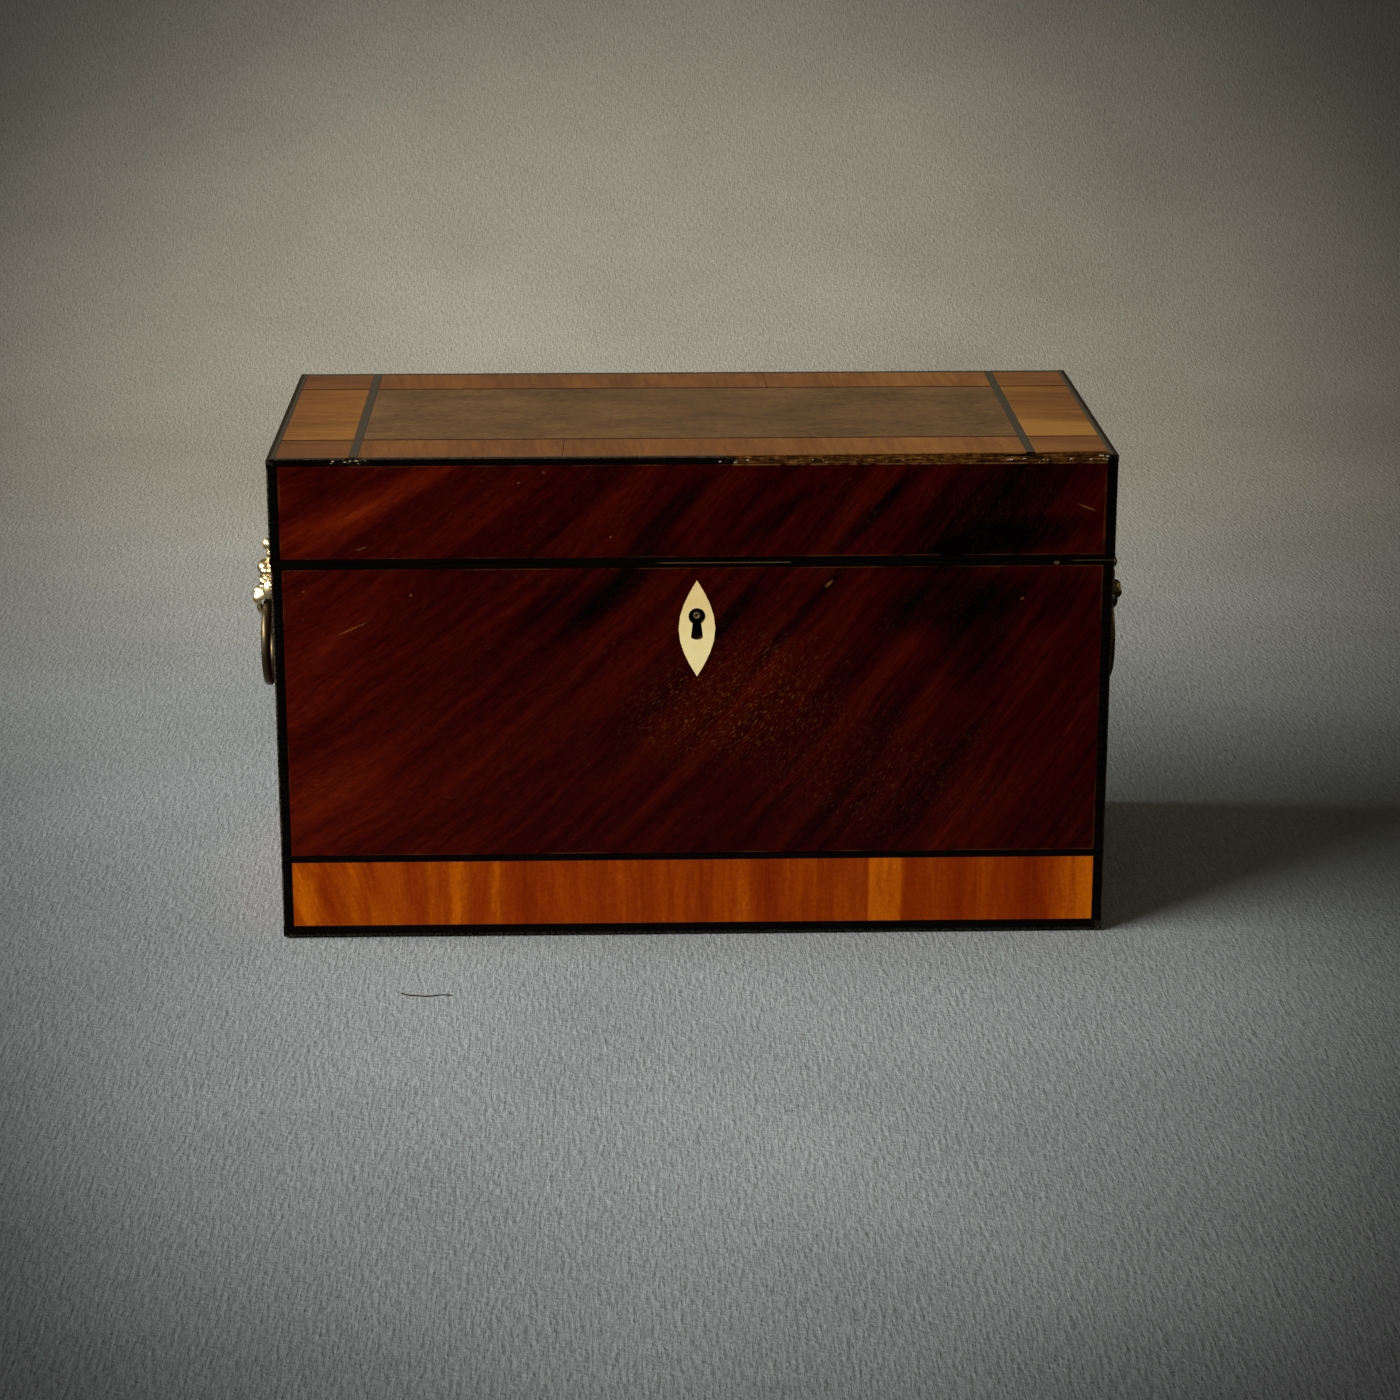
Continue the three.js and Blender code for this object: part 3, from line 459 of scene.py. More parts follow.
def black_wood(name, dust_and_sheen=(0.036, 0.027, 0.0135), sheen=0.5):
    """Ebony: black at the front, dusty on top with painted sheen that lightens it, olive brown at the
    outer arrises from wear and a painted highlight.
    """
    f = Finish(name)
    grain = f.streaks(f.z + f.y, f.x, 900.0, 20.0, 2.0)
    specks = f.noise(f.place, 900.0, 3.0)
    colour = f.ramp(grain, [(0.35, (0.0004, 0.0003, 0.0003)), (0.7, (0.0022, 0.0014, 0.0011))])
    on_top = f.near(f.z, TOTAL_HEIGHT, -0.2, -0.11)
    inset = f.least(LID_HALF_WIDTH * MM - abs(f.x), HALF_DEPTH * MM - abs(f.y))
    handled = f.near(inset, 0.0, 2.1, 1.1)
    # Dust and painted sheen: the top faces are given a lighter colour.
    colour = f.mix(on_top * 0.85, colour, f.mix(handled, dust_and_sheen, (0.011, 0.0062, 0.0012)))
    # Rubbed arrises: partly wear, partly a painted highlight where the rounded edge catches the light.
    rubbed = f.attribute("wear") * f.fade(specks, 0.40, 0.62)
    colour = f.mix(rubbed * 0.6, colour, (0.060, 0.040, 0.022))
    at_joint = f.near(f.z, CASE_RIM[1], -0.3, -0.15) * f.near(f.z, LID_RIM[0], -0.05, -0.1)
    middle = f.near(f.x, LOCK_X, -15.2, -12.2) * f.near(f.x, LOCK_X, 34.8, 32.8)
    right_end = f.near(f.x, HALF_WIDTH, -16.5, -13.5) * 0.6
    on_front = f.near(f.y, -HALF_DEPTH, 1.0, 0.5)
    hairline = (middle + right_end) * at_joint * on_front
    nick = f.spot(f.x, f.z, (131.6, 142.3), (1.4, 0.9)) * on_front
    colour = f.mix((hairline + nick) * 0.7, colour, (0.12, 0.060, 0.018))
    foot = f.near(f.z, 0.0, 2.2, 0.9) * f.fade(specks, 0.35, 0.60)
    colour = f.mix(foot * 0.35, colour, (0.055, 0.048, 0.034))
    polished = f.fade(abs(f.facing[0]), 0.45, 0.75)
    shine = f.choose(on_top, f.choose(polished, 0.04, 0.5), f.choose(handled, sheen, 0.15))
    roughness = f.choose(on_top, f.vary(grain, 0.30, 0.42), 0.46)
    relief = grain * 0.5 + specks * 0.4
    return f.done(colour, roughness, relief, 0.04, specular=shine)


def raw_wood(name):
    """Broken, glue-stained wood where the edging came away."""
    f = Finish(name)
    fibres = f.streaks(f.z + f.y, f.x, 1300.0, 11.0, 2.0)
    lumps = f.noise(f.place, 420.0, 4.0)
    colour = f.ramp(fibres * 0.6 + lumps * 0.4, [
        (0.40, (0.0030, 0.0014, 0.0005)),
        (0.49, (0.0230, 0.0075, 0.0010)),
        (0.57, (0.0560, 0.0220, 0.0035)),
        (0.70, (0.1500, 0.0780, 0.0200)),
    ])
    # Painted shade: near black in the grooves and along the layer line under the broken veneer.
    colour = f.mix(f.attribute("deep"), colour, (0.0008, 0.0004, 0.0002))
    return f.done(colour, f.vary(lumps, 0.7, 0.9), fibres + lumps, 0.25, specular=0.02)


def pale_chip(name):
    """Flakes of old glue and pale torn fibre."""
    f = Finish(name)
    spots = f.noise(f.place, 1600.0, 3.0)
    colour = f.ramp(spots, [(0.3, (0.10, 0.066, 0.032)), (0.7, (0.34, 0.27, 0.17))])
    return f.done(colour, f.vary(spots, 0.6, 0.85), spots, 0.15)


def old_bone(name):
    """Cream bone that has yellowed towards the top, with fine dark pores along its length."""
    f = Finish(name)
    pores = f.streaks(f.x, f.z, 2600.0, 26.0, 1.0, 3.0)
    clouds = f.noise(f.place, 210.0, 4.0)
    yellowed = f.near(f.z, KEYHOLE_Z, -11.1, 8.9) * 0.6 + (clouds - 0.5) * 0.9
    colour = f.mix(yellowed, (0.785, 0.66, 0.32), (0.69, 0.475, 0.175))
    colour = f.mix(f.fade(pores, 0.62, 0.74, 0.0, 0.3), colour, (0.36, 0.24, 0.09))
    stain = f.fade(f.noise(f.place, 520.0, 3.0), 0.58, 0.75, 0.0, 0.3)
    colour = f.mix(stain, colour, (0.55, 0.40, 0.16))
    # Painted shade: the walls inside the keyhole are darkened.
    keyhole_wall_shade = f.near(f.y, -HALF_DEPTH, 7.5, 5.5) * f.fade(f.facing[1], -0.93, -0.75)
    colour = f.mix(keyhole_wall_shade, colour, (0.020, 0.010, 0.003))
    relief = pores * -0.6 + clouds
    return f.done(colour, f.vary(clouds, 0.34, 0.46), relief, 0.04, specular=0.3)


def brass(name, light, dark, roughness, tarnish, shaded_black_below=0.0, relief=0.12):
    """Brass, bright where it is handled and brown in its hollows from dirt and painted shade, or
    painted black, standing for shade, below a height.
    """
    f = Finish(name)
    clouds = f.noise(f.place, 180.0, 5.0)
    specks = f.noise(f.place, 1400.0, 3.0)
    # Dirt and painted shade: darker in the hollows the mesh marks, and in tarnished patches.
    dirt_and_painted_shade = f.least(f.attribute("hollow") + f.fade(clouds, 0.52, 0.72, 0.0, tarnish), 1.0)
    dirt_and_painted_shade *= f.fade(specks, 0.25, 0.5, 0.7, 1.0)
    colour = f.mix(dirt_and_painted_shade, light, dark)
    if shaded_black_below:
        # Painted shade: below this height, inside the wood, the lock is painted black.
        buried_in_shade = f.near(f.z, shaded_black_below, 0.5, -0.5)
        colour = f.mix(buried_in_shade, colour, (0.004, 0.003, 0.002))
        dirt_and_painted_shade = f.do("MAXIMUM", dirt_and_painted_shade, buried_in_shade)
    rough = f.choose(dirt_and_painted_shade, f.vary(clouds, roughness, roughness + 0.12), 0.62)
    height = clouds + specks * 0.25
    return f.done(colour, rough, height, relief, Metallic=f.fade(dirt_and_painted_shade, 0.2, 1.0, 1.0, 0.55))


def woven(name, dark, light, thread, nap_colour):
    """Close woolly cloth: threads about `thread` millimetres apart under a fuzzy nap."""
    f = Finish(name)
    waves = {"Vector": f.place, "Scale": 0.314 / (thread * MM), "Distortion": 1.5, "Detail Scale": 2.0}
    warp, weft = [f.value("ShaderNodeTexWave", waves, "Fac", bands_direction=way) for way in "XY"]
    nap = f.noise(f.place, 1500.0, 4.0)
    patches = f.noise(f.place, 38.0, 5.0, 0.6, 1.2)
    weave = warp * 0.5 + weft * 0.5
    tone = weave * 0.2 + nap * 0.3 + patches * 0.5
    return f.done(
        f.ramp(tone, [(0.36, dark), (0.62, light)]), f.vary(nap, 0.85, 1.0), weave + nap * 1.2, 0.3,
        Sheen_Weight=0.4, Sheen_Tint=nap_colour, Sheen_Roughness=0.4, specular=0.1)


def tea_foil(name):
    """Thin lead foil, dull grey, creased where it was pressed against the wood."""
    f = Finish(name)
    inputs = {"Vector": f.place, "Scale": 95.0}
    creases = f.value("ShaderNodeTexVoronoi", inputs, "Distance", feature="DISTANCE_TO_EDGE")
    dents = f.noise(f.place, 120.0, 5.0)
    colour = f.ramp(dents, [(0.35, (0.10, 0.095, 0.085)), (0.65, (0.34, 0.33, 0.31))])
    height = f.fade(creases, 0.0, 0.08, 0.0, 0.6) + dents
    return f.done(colour, f.vary(dents, 0.38, 0.55), height, 0.5, Metallic=0.85)


def clear_glass(name):
    """Clear lead glass with a faint grey cast and fine wear on the surface."""
    f = Finish(name)
    waves = f.noise(f.place, 60.0, 2.0)
    colour = f.mix(waves, (0.93, 0.97, 0.95), (0.97, 0.99, 0.98))
    wear = f.fade(f.noise(f.place, 1800.0, 3.0), 0.5, 0.8, 0.02, 0.12)
    return f.done(colour, wear, waves, 0.12, IOR=1.55, Transmission_Weight=1.0)


def backdrop_cloth(name):
    """Grey wool, cooler in front and warmer behind, with painted shade that darkens it away from the
    middle of the camera's view.
    """
    f = Finish(name)
    depth = f.y + f.z
    warp = f.streaks(f.x, depth, 800.0, 7.0, 1.0, 3.0)
    weft = f.streaks(depth, f.x, 800.0, 3.0, 4.0, 3.0)
    nap = f.noise(f.place, 480.0, 4.0)
    tone = warp * 0.34 + weft * 0.2 + nap * 0.22 + f.noise(f.place, 7.0, 5.0) * 0.24
    cool = f.ramp(tone, [(0.36, (0.121, 0.132, 0.136)), (0.64, (0.243, 0.260, 0.262))])
    warm = f.ramp(tone, [(0.36, (0.215, 0.203, 0.165)), (0.64, (0.355, 0.337, 0.280))])
    colour = f.mix(f.fade(f.y, 0.05, 0.80), cool, warm)
    # Painted shade, like a vignette: the cloth darkens the further it lies off the camera's line of
    # sight.
    across, upward = f.sight(CAMERA_PLACE, CAMERA_TURN, CAMERA_TILT)
    away = f.do("SQRT", across * across + upward * upward)
    colour = f.mix(f.fade(away, 0.095, 0.30, 0.0, 0.9), colour, (0.001, 0.001, 0.001))
    return f.done(colour, f.vary(nap, 0.9, 1.0), warp + weft + nap, 0.5, specular=0.05)


BASE_BAND_FIGURE = [
    (-148, 0.06), (-141, 0.10), (-137, -0.03), (-131, 0.03), (-126, 0.10), (-121, -0.02),
    (-116, 0.10), (-109, 0.08), (-106, -0.06), (-97, 0.08), (-92, -0.03), (-87.5, 0.10),
    (-84, -0.04), (-76, -0.02), (-72.7, 0.10), (-71, -0.03), (-53, -0.09), (-38, -0.01),
    (0, -0.04), (18, 0.06), (24, -0.05), (64.6, -0.02), (65.6, 0.22), (76, 0.15), (79, -0.10),
    (88, 0.00), (98, -0.12), (106, 0.00), (124, -0.16), (132, -0.05), (140, 0.12), (148, 0.18),
]

TOP_WARMTH = [(-150, -0.12), (-100, 0.02), (-60, -0.02), (0, 0.03), (60, 0.08), (85, 0.16),
              (110, 0.10), (150, 0.02)]

MAHOGANY = ((0.022, 0.005, 0.002), (0.060, 0.014, 0.005), (0.120, 0.032, 0.011))
OLD_BRASS = ((0.58, 0.41, 0.18), (0.070, 0.042, 0.018), 0.32, 0.8)

# The slot and the material of each finish. Broken wood, chips and the stage have no slot.
FINISHES = {
    "front_flame": ("mahogany", flame_mahogany("mahogany_flame_front", True, 148.5, 0.04)),
    "side_flame": ("mahogany", flame_mahogany("mahogany_flame_side", False, 73.5, 0.06)),
    "back_wood": ("mahogany", plain_wood(
        "mahogany_back", (0.012, 0.0022, 0.0009), (0.030, 0.0060, 0.0018), (0.060, 0.014, 0.0038),
        specular=0.12)),
    "plain_mahogany": ("plain_mahogany", plain_wood("mahogany_plain", *MAHOGANY)),
    "lid_mahogany": ("plain_mahogany", plain_wood(
        "mahogany_canister_lid", *MAHOGANY, inlay=boxwood_line)),
    "pine": ("pine", plain_wood(
        "pine_aged", (0.060, 0.026, 0.009), (0.125, 0.060, 0.022), (0.215, 0.115, 0.046),
        (0.6, 0.8), 0.2, 0.09)),
    "faded": ("faded_mahogany", faded_top("mahogany_faded")),
    "base_band": ("satinwood", satinwood("satinwood_base_band", "z", ORANGE, BASE_BAND_FIGURE)),
    "side_band": ("satinwood", satinwood(
        "satinwood_side_band", "z", ORANGE, [(-150, 0.0), (150, 0.04)])),
    "top_band": ("satinwood", satinwood(
        "satinwood_top_band", "y", FADED_ORANGE, TOP_WARMTH, 0.5, 0.008)),
    "top_end": ("satinwood", satinwood(
        "satinwood_top_end", "x", FADED_GOLD, TOP_WARMTH, 0.5, 0.008, end_panel_shade)),
    "top_field": ("satinwood", satinwood(
        "satinwood_top_field", "x", FADED_ORANGE, TOP_WARMTH, 0.5, 0.008)),
    "ebony": ("ebony", black_wood("ebony")),
    "fine_line": ("ebony", black_wood("ebony_fine_line", (0.0120, 0.0060, 0.0020), 0.12)),
    "raw": (None, raw_wood("torn_wood")),
    "chip": (None, pale_chip("pale_chips")),
    "bone": ("bone", old_bone("bone")),
    "bright_brass": ("bright_brass", brass(
        "brass_bright", (0.72, 0.56, 0.30), (0.050, 0.032, 0.014), 0.24, 0.3, relief=0.04)),
    # A darker copy of the bright brass: painted shade for the right mask, away from the window, and
    # tarnish with painted shade for the rings.
    "tarnished_shaded_brass": ("bright_brass", brass(
        "brass_tarnished_shaded", (0.09, 0.064, 0.028), (0.008, 0.005, 0.002), 0.20, 0.7, relief=0.04)),
    "worn_brass": ("worn_brass", brass("brass_worn", *OLD_BRASS)),
    "lock_brass": ("worn_brass", brass("brass_lock", *OLD_BRASS, shaded_black_below=140.5)),
    "baize": ("baize", woven(
        "green_baize", (0.010, 0.030, 0.016), (0.030, 0.072, 0.040), 0.6, (0.10, 0.30, 0.16))),
    "velvet": ("velvet", woven(
        "crimson_velvet", (0.070, 0.004, 0.008), (0.200, 0.012, 0.022), 0.35, (0.70, 0.06, 0.10))),
    "foil": ("tea_foil", tea_foil("tea_foil")),
    "glass": ("glass", clear_glass("lead_glass")),
    "cloth": (None, backdrop_cloth("backdrop_cloth")),
}


# ---- Mesh helpers ----


def add_object(name, data):
    """Links a new object with this mesh, light or camera to the scene."""
    made = bpy.data.objects.new(name, data)
    bpy.context.scene.collection.objects.link(made)
    return made


def dress(piece, finish):
    """Gives a piece its material."""
    slot, material = FINISHES[finish]
    piece.data.materials.clear()
    piece.data.materials.append(material)


def add_piece(name, mesh, finish, body, stands_for=()):
    """Puts a mesh made in row-frame metres on its CAD body, with its material."""
    piece = add_object(name, mesh)
    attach(piece, body)
    dress(piece, finish)
    if stands_for:
        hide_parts(*stands_for)
    return piece


def add_to_stage(name, mesh, finish):
    mesh.materials.append(FINISHES[finish][1])
    add_object(name, mesh)


def mesh_of(shape, name):
    """Turns a bmesh into a mesh and frees it."""
    mesh = bpy.data.meshes.new(name)
    shape.to_mesh(mesh)
    shape.free()
    return mesh


def quads(rows, columns, ring=False, torus=False):
    """Faces over points laid out in rows. `ring` joins the last column to the first, and `torus`
    joins the last row to the first as well."""
    faces = []
    for i in range(rows if torus else rows - 1):
        for j in range(columns if ring or torus else columns - 1):
            a = i * columns
            b = (i + 1) % rows * columns
            k = (j + 1) % columns
            faces.append((a + j, a + k, b + k, b + j))
    return faces


def rim_of(rows, columns):
    """The points round the edge of a grid of points, in order."""
    last = (rows - 1) * columns
    return [
        *range(columns),
        *range(2 * columns - 1, last + columns, columns),
        *range(last + columns - 2, last - 1, -1),
        *range(last - columns, 0, -columns),
    ]


def mesh_from(name, points, faces, weld=False):
    """A mesh from points in millimetres, with its faces turned outwards. `weld` joins points that
    lie in the same place."""
    mesh = bpy.data.meshes.new(name)
    mesh.from_pydata([Vector(p) * MM for p in points], [], faces)
    shape = bmesh.new()
    shape.from_mesh(mesh)
    if weld:
        bmesh.ops.remove_doubles(shape, verts=shape.verts, dist=1e-6)
    bmesh.ops.recalc_face_normals(shape, faces=shape.faces)
    shape.to_mesh(mesh)
    shape.free()
    mesh.shade_smooth()
    return mesh


def loft(name, rings):
    """Skins a list of equal closed rings of points and caps both ends."""
    count = len(rings[0])
    points = [p for ring in rings for p in ring]
    faces = quads(len(rings), count, ring=True)
    faces.append(tuple(reversed(range(count))))
    faces.append(tuple(range(len(points) - count, len(points))))
    return mesh_from(name, points, faces)


def sharpen(mesh, degrees=50.0):
    """Shades smooth across gentle edges and keeps the hard ones crisp."""
    mesh.set_sharp_from_angle(angle=math.radians(degrees))


def paint(mesh, name, values):
    """Stores one number for each vertex, for a material to read."""
    layer = mesh.attributes.new(name, "FLOAT", "POINT")
    layer.data.foreach_set("value", np.asarray(values, np.float32))


def circle(radius, segments):
    """Points round a circle, counted from the first axis."""
    angles = [2 * math.pi * k / segments for k in range(segments)]
    return [(radius * math.cos(angle), radius * math.sin(angle)) for angle in angles]


def turned(name, profile, segments, centre=(0.0, 0.0)):
    """A closed lathe of (radius, height) points about the vertical through `centre`."""
    points = [
        (centre[0] + x, centre[1] + y, height)
        for radius, height in profile
        for x, y in circle(radius, segments)
    ]
    return mesh_from(name, points, quads(len(profile), segments, ring=True), weld=True)


def smoothed(profile, steps=4):
    """A Catmull-Rom curve through the given points."""
    points = [Vector(p) for p in profile]
    ends = [points[0] * 2 - points[1], *points, points[-1] * 2 - points[-2]]
    curve = []
    for a, b, c, d in zip(ends, ends[1:], ends[2:], ends[3:]):
        for k in range(steps):
            t = k / steps
            curve.append(0.5 * (2 * b + (c - a) * t + (2 * a - 5 * b + 4 * c - d) * t * t
                                + (3 * b - a - 3 * c + d) * t ** 3))
    return [tuple(p) for p in [*curve, points[-1]]]


def noise_at(*place):
    """Smooth noise from about -1 to 1."""
    return noise.noise(Vector(place))


# ---- Strips and veneers ----

CORNERS = [(-1, -1), (1, -1), (1, 1), (-1, 1)]


def section(a, b, radii):
    """A rounded rectangle. radii gives each corner's radius in the order of CORNERS."""
    middle = (sum(a) / 2, sum(b) / 2)
    half = ((a[1] - a[0]) / 2, (b[1] - b[0]) / 2)
    ring = []
    for (side_a, side_b), radius in zip(CORNERS, radii):
        start = math.atan2(side_b, side_a) - math.pi / 4
        for step in range(4):
            angle = start + step * math.pi / 6
            ring.append((
                middle[0] + side_a * (half[0] - radius) + radius * math.cos(angle),
                middle[1] + side_b * (half[1] - radius) + radius * math.sin(angle),
            ))
    return ring


def strip(name, x, y, z, finish, body, worn=(), seed=0.0, arris=0.35, stands_for=()):
    """A long strip of wood. Corners of its section listed in `worn` are rubbed and chipped, and their
    arrises are marked paler, partly for wear and partly as a painted highlight.
    """
    spans = [x, y, z]
    lengths = [high - low for low, high in spans]
    long_axis = lengths.index(max(lengths))
    first, second = [axis for axis in range(3) if axis != long_axis]
    low, high = spans[long_axis]
    count = max(4, round((high - low) / 1.2))
    limit = 0.47 * min(lengths[first], lengths[second])
    rings = []
    wear = []
    for step in range(count + 1):
        along = low + (high - low) * step / count
        radii = []
        for corner, place in enumerate(CORNERS):
            if place in worn:
                rubbing = max(0.0, noise_at(along * 0.06, seed, corner))
                chips = max(0.0, noise_at(along * 0.5, seed + 9, corner) - 0.38) * 3.0
                radii.append(min(limit, arris + EDGE_RUB * (rubbing + chips)))
            else:
                radii.append(SHARP)
        ring = []
        for index, (p, q) in enumerate(section(spans[first], spans[second], radii)):
            point = [0.0, 0.0, 0.0]
            point[long_axis], point[first], point[second] = along, p, q
            ring.append(tuple(point))
            # Arris points are marked for the paler colour: wear with a painted highlight.
            on_arris = index % 4 in (1, 2) and CORNERS[index // 4] in worn
            wear.append(1.0 if on_arris else 0.0)
        rings.append(ring)
    mesh = loft(name, rings)
    sharpen(mesh)
    paint(mesh, "wear", wear)
    return add_piece(name, mesh, finish, body, stands_for)


def frame_of_strips(name, half_x, width, z, body, up, seed, skip_front=False):
    """Four strips round the caddy. `up` says which outer arris is rubbed: 1 upper, -1 lower, 0 none."""
    inner_x = half_x - width - JOINT
    for side, word in SIDES:
        x = sorted((side * half_x, side * (half_x - width)))
        y = (-HALF_DEPTH, HALF_DEPTH)
        strip(f"{name}_{word}", x, y, z, "ebony", body, [(side, up)], seed + side)
    for side, word in ENDS[1:] if skip_front else ENDS:
        x = (-inner_x, inner_x)
        y = sorted((side * HALF_DEPTH, side * (HALF_DEPTH - width)))
        strip(f"{name}_{word}", x, y, z, "ebony", body, [(side, up)], seed + side * 3)


def corner_strips(name, half_x, z, body, seed):
    """The four vertical corner strips of the case or the lid."""
    for side_x, word_x in SIDES:
        for side_y, word_y in ENDS:
            strip(
                f"{name}_{word_y}_{word_x}",
                sorted((side_x * half_x, side_x * (half_x - POST + JOINT))),
                sorted((side_y * HALF_DEPTH, side_y * (HALF_DEPTH - POST + JOINT))),
                (z[0] + JOINT, z[1] - JOINT),
                "ebony", body, [(side_x, side_y)], seed + side_x + 2 * side_y, arris=0.8,
            )


def leaf_steps(length, step):
    """Places along a leaf, close together at its ends so that only its very edge is rounded."""
    count = max(2, round(length / step))
    inner = [length * i / count for i in range(1, count)]
    return [0.0, 0.1, 0.22, *inner, length - 0.22, length - 0.1, length]


def broken_front(x):
    """Where the top's veneers now end in front: they have crumbled back beside the lost edging."""
    sound = -(HALF_DEPTH - TOP_EDGING_WIDTH - JOINT)
    if x < LOSS_START:
        return sound
    return sound + np.interp(x, *LOSS_DEPTH) + 0.12 * noise_at(x * 0.8, 3.0, 3.0)


def veneer(name, x, y, z, finish, body, lean=(0.0, 0.0), seed=0.0, stands_for=(), front=None):
    """A flat leaf with softened edges and a slight ripple. `lean` slants its left and right ends,
    and `front` gives its front edge where that isn't straight."""
    columns = leaf_steps(x[1] - x[0], 1.0 if front else 4.0)
    rows = leaf_steps(y[1] - y[0], 4.0)
    points = []
    for row in rows:
        share = row / (y[1] - y[0])
        for column in columns:
            t = column / (x[1] - x[0])
            slant = (share - 0.5) * (lean[0] * (1 - t) + lean[1] * t)
            ripple = 0.03 * noise_at(column * 0.05 + seed, row * 0.05, seed)
            start = front(x[0] + column) if front else y[0]
            across = start + (y[1] - start) * share
            points.append((x[0] + column + slant, across, z[1] - 0.04 + ripple))
    faces = quads(len(rows), len(columns))
    rim = rim_of(len(rows), len(columns))
    base = len(points)
    for k, index in enumerate(rim):
        place_x, place_y, height = points[index]
        points[index] = (place_x, place_y, height - 0.05)
        points.append((place_x, place_y, z[0]))
        n = (k + 1) % len(rim)
        faces.append((index, base + k, base + n, rim[n]))
    faces.append(tuple(range(base, len(points))))
    mesh = mesh_from(name, points, faces)
    sharpen(mesh)
    return add_piece(name, mesh, finish, body, stands_for)


# CAD nodes that show as they are: finish, width and segments of their eased edges, and names.
EASED_NODES = [
    ("pine", 0.2, 2, [
        "front_board", "back_board", "left_board", "right_board", "bottom_board",
        "lid_front_rail", "lid_back_rail", "lid_left_rail", "lid_right_rail", "lid_top_board"]),
    ("front_flame", 0.12, 2, ["front_veneer", "lid_front_veneer"]),
    ("side_flame", 0.12, 2, ["left_veneer", "right_veneer", "lid_left_veneer", "lid_right_veneer"]),
    ("back_wood", 0.12, 2, ["back_veneer", "lid_back_veneer"]),
    ("base_band", 0.12, 2, ["front_band"]),
    ("side_band", 0.12, 2, ["left_band", "right_band"]),
    ("plain_mahogany", 0.4, 3, ["left_partition", "right_partition", "bowl_board"]),
    ("plain_mahogany", 0.5, 3, ["inner_liner", "left_canister", "right_canister"]),
    ("lid_mahogany", 0.6, 3, ["left_canister_lid", "right_canister_lid"]),
    ("foil", 0.15, 2, ["left_canister_foil", "right_canister_foil"]),
    ("bone", 0.08, 2, ["escutcheon"]),
]


def ease_nodes():
    """Shows CAD nodes as they are, with their hard edges eased by a modifier."""
    for finish, width, segments, names in EASED_NODES:
        for name in names:
            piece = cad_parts[name]
            dress(piece, finish)
            bevel = piece.modifiers.new("eased_edges", "BEVEL")
            bevel.width = width * MM
            bevel.segments = segments
            bevel.limit_method = "ANGLE"
            bevel.angle_limit = math.radians(40)
            bevel.use_clamp_overlap = True
            bevel.harden_normals = True


# ---- Case ----


def build_case():
    frame_of_strips("base_edging", HALF_WIDTH, POST, BASE_EDGING, "case", -1, 11.0)
    frame_of_strips("case_rim", HALF_WIDTH, POST, CASE_RIM, "case", 0, 23.0)
    corner_strips("case_corner", HALF_WIDTH, (BASE_EDGING[1], CASE_RIM[0]), "case", 37.0)
    string = (BAND_TOP + JOINT, STRING_TOP - JOINT)
    long_x = HALF_WIDTH - POST - JOINT
    long_y = HALF_DEPTH - POST - JOINT
    strip("front_string", (-long_x, long_x), (-HALF_DEPTH, -HALF_DEPTH + VENEER), string,
          "ebony", "case", arris=0.1, stands_for=["case_edging"])
    for side, word in SIDES:
        x = sorted((side * HALF_WIDTH, side * (HALF_WIDTH - VENEER)))
        strip(f"{word}_string", x, (-long_y, long_y), string, "ebony", "case", arris=0.1)


def build_base_baize():
    """A felted sheet glued under the base, its edge a little ragged."""
    half_x, half_y = BAIZE_HALF
    outline = []
    for a, b in zip(CORNERS, CORNERS[1:] + CORNERS[:1]):
        steps = 60 if a[1] == b[1] else 30
        for k in range(steps):
            t = k / steps
            x = half_x * (a[0] + (b[0] - a[0]) * t)
            y = half_y * (a[1] + (b[1] - a[1]) * t)
            ragged = 1 - 0.004 * abs(noise_at(x * 0.4, y * 0.4, 5))
            outline.append((x * ragged, y * ragged))
    rings = [[(x, y, z) for x, y in outline] for z in (0.0, BASE_EDGING[0] - JOINT)]
    mesh = loft("base_baize_sheet", rings)
    sharpen(mesh)
    sheet = add_piece("base_baize_sheet", mesh, "baize", "case", ["base_baize"])


# ---- Lock and hinges ----


def refined(node, name, finish, body, width=0.15):
    """A CAD node rebuilt with clean flat faces and rounded edges, to stand for the node."""
    shape = bmesh.new()
    shape.from_mesh(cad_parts[node].data)
    bmesh.ops.remove_doubles(shape, verts=shape.verts, dist=1e-6)
    bmesh.ops.dissolve_limit(shape, angle_limit=math.radians(1), verts=shape.verts, edges=shape.edges)
    edges = [e for e in shape.edges if len(e.link_faces) == 2 and e.calc_face_angle(0) > 0.7]
    bmesh.ops.bevel(shape, geom=edges, offset=width * MM, segments=2, profile=0.5,
                    affect="EDGES", clamp_overlap=True)
    mesh = mesh_of(shape, name)
    mesh.shade_smooth()
    sharpen(mesh, 35.0)
    add_piece(name, mesh, finish, body, [node])


def modified(mesh, modifiers):
    """The mesh after modifiers, which are given as kinds with their settings."""
    work = add_object("work", mesh)
    for kind, settings in modifiers.items():
        modifier = work.modifiers.new(kind, kind)
        for key, value in settings.items():
            setattr(modifier, key, value)
    made = bpy.data.meshes.new_from_object(work.evaluated_get(bpy.context.evaluated_depsgraph_get()))
    bpy.data.objects.remove(work)
    return made


def cut_away(mesh, tool):
    """What is left of a mesh when a tool's shape is cut out of it."""
    cutter = add_object("cutter", tool)
    settings = {"object": cutter, "operation": "DIFFERENCE", "solver": "EXACT"}
    made = modified(mesh, {"BOOLEAN": settings})
    bpy.data.objects.remove(cutter)
    return made


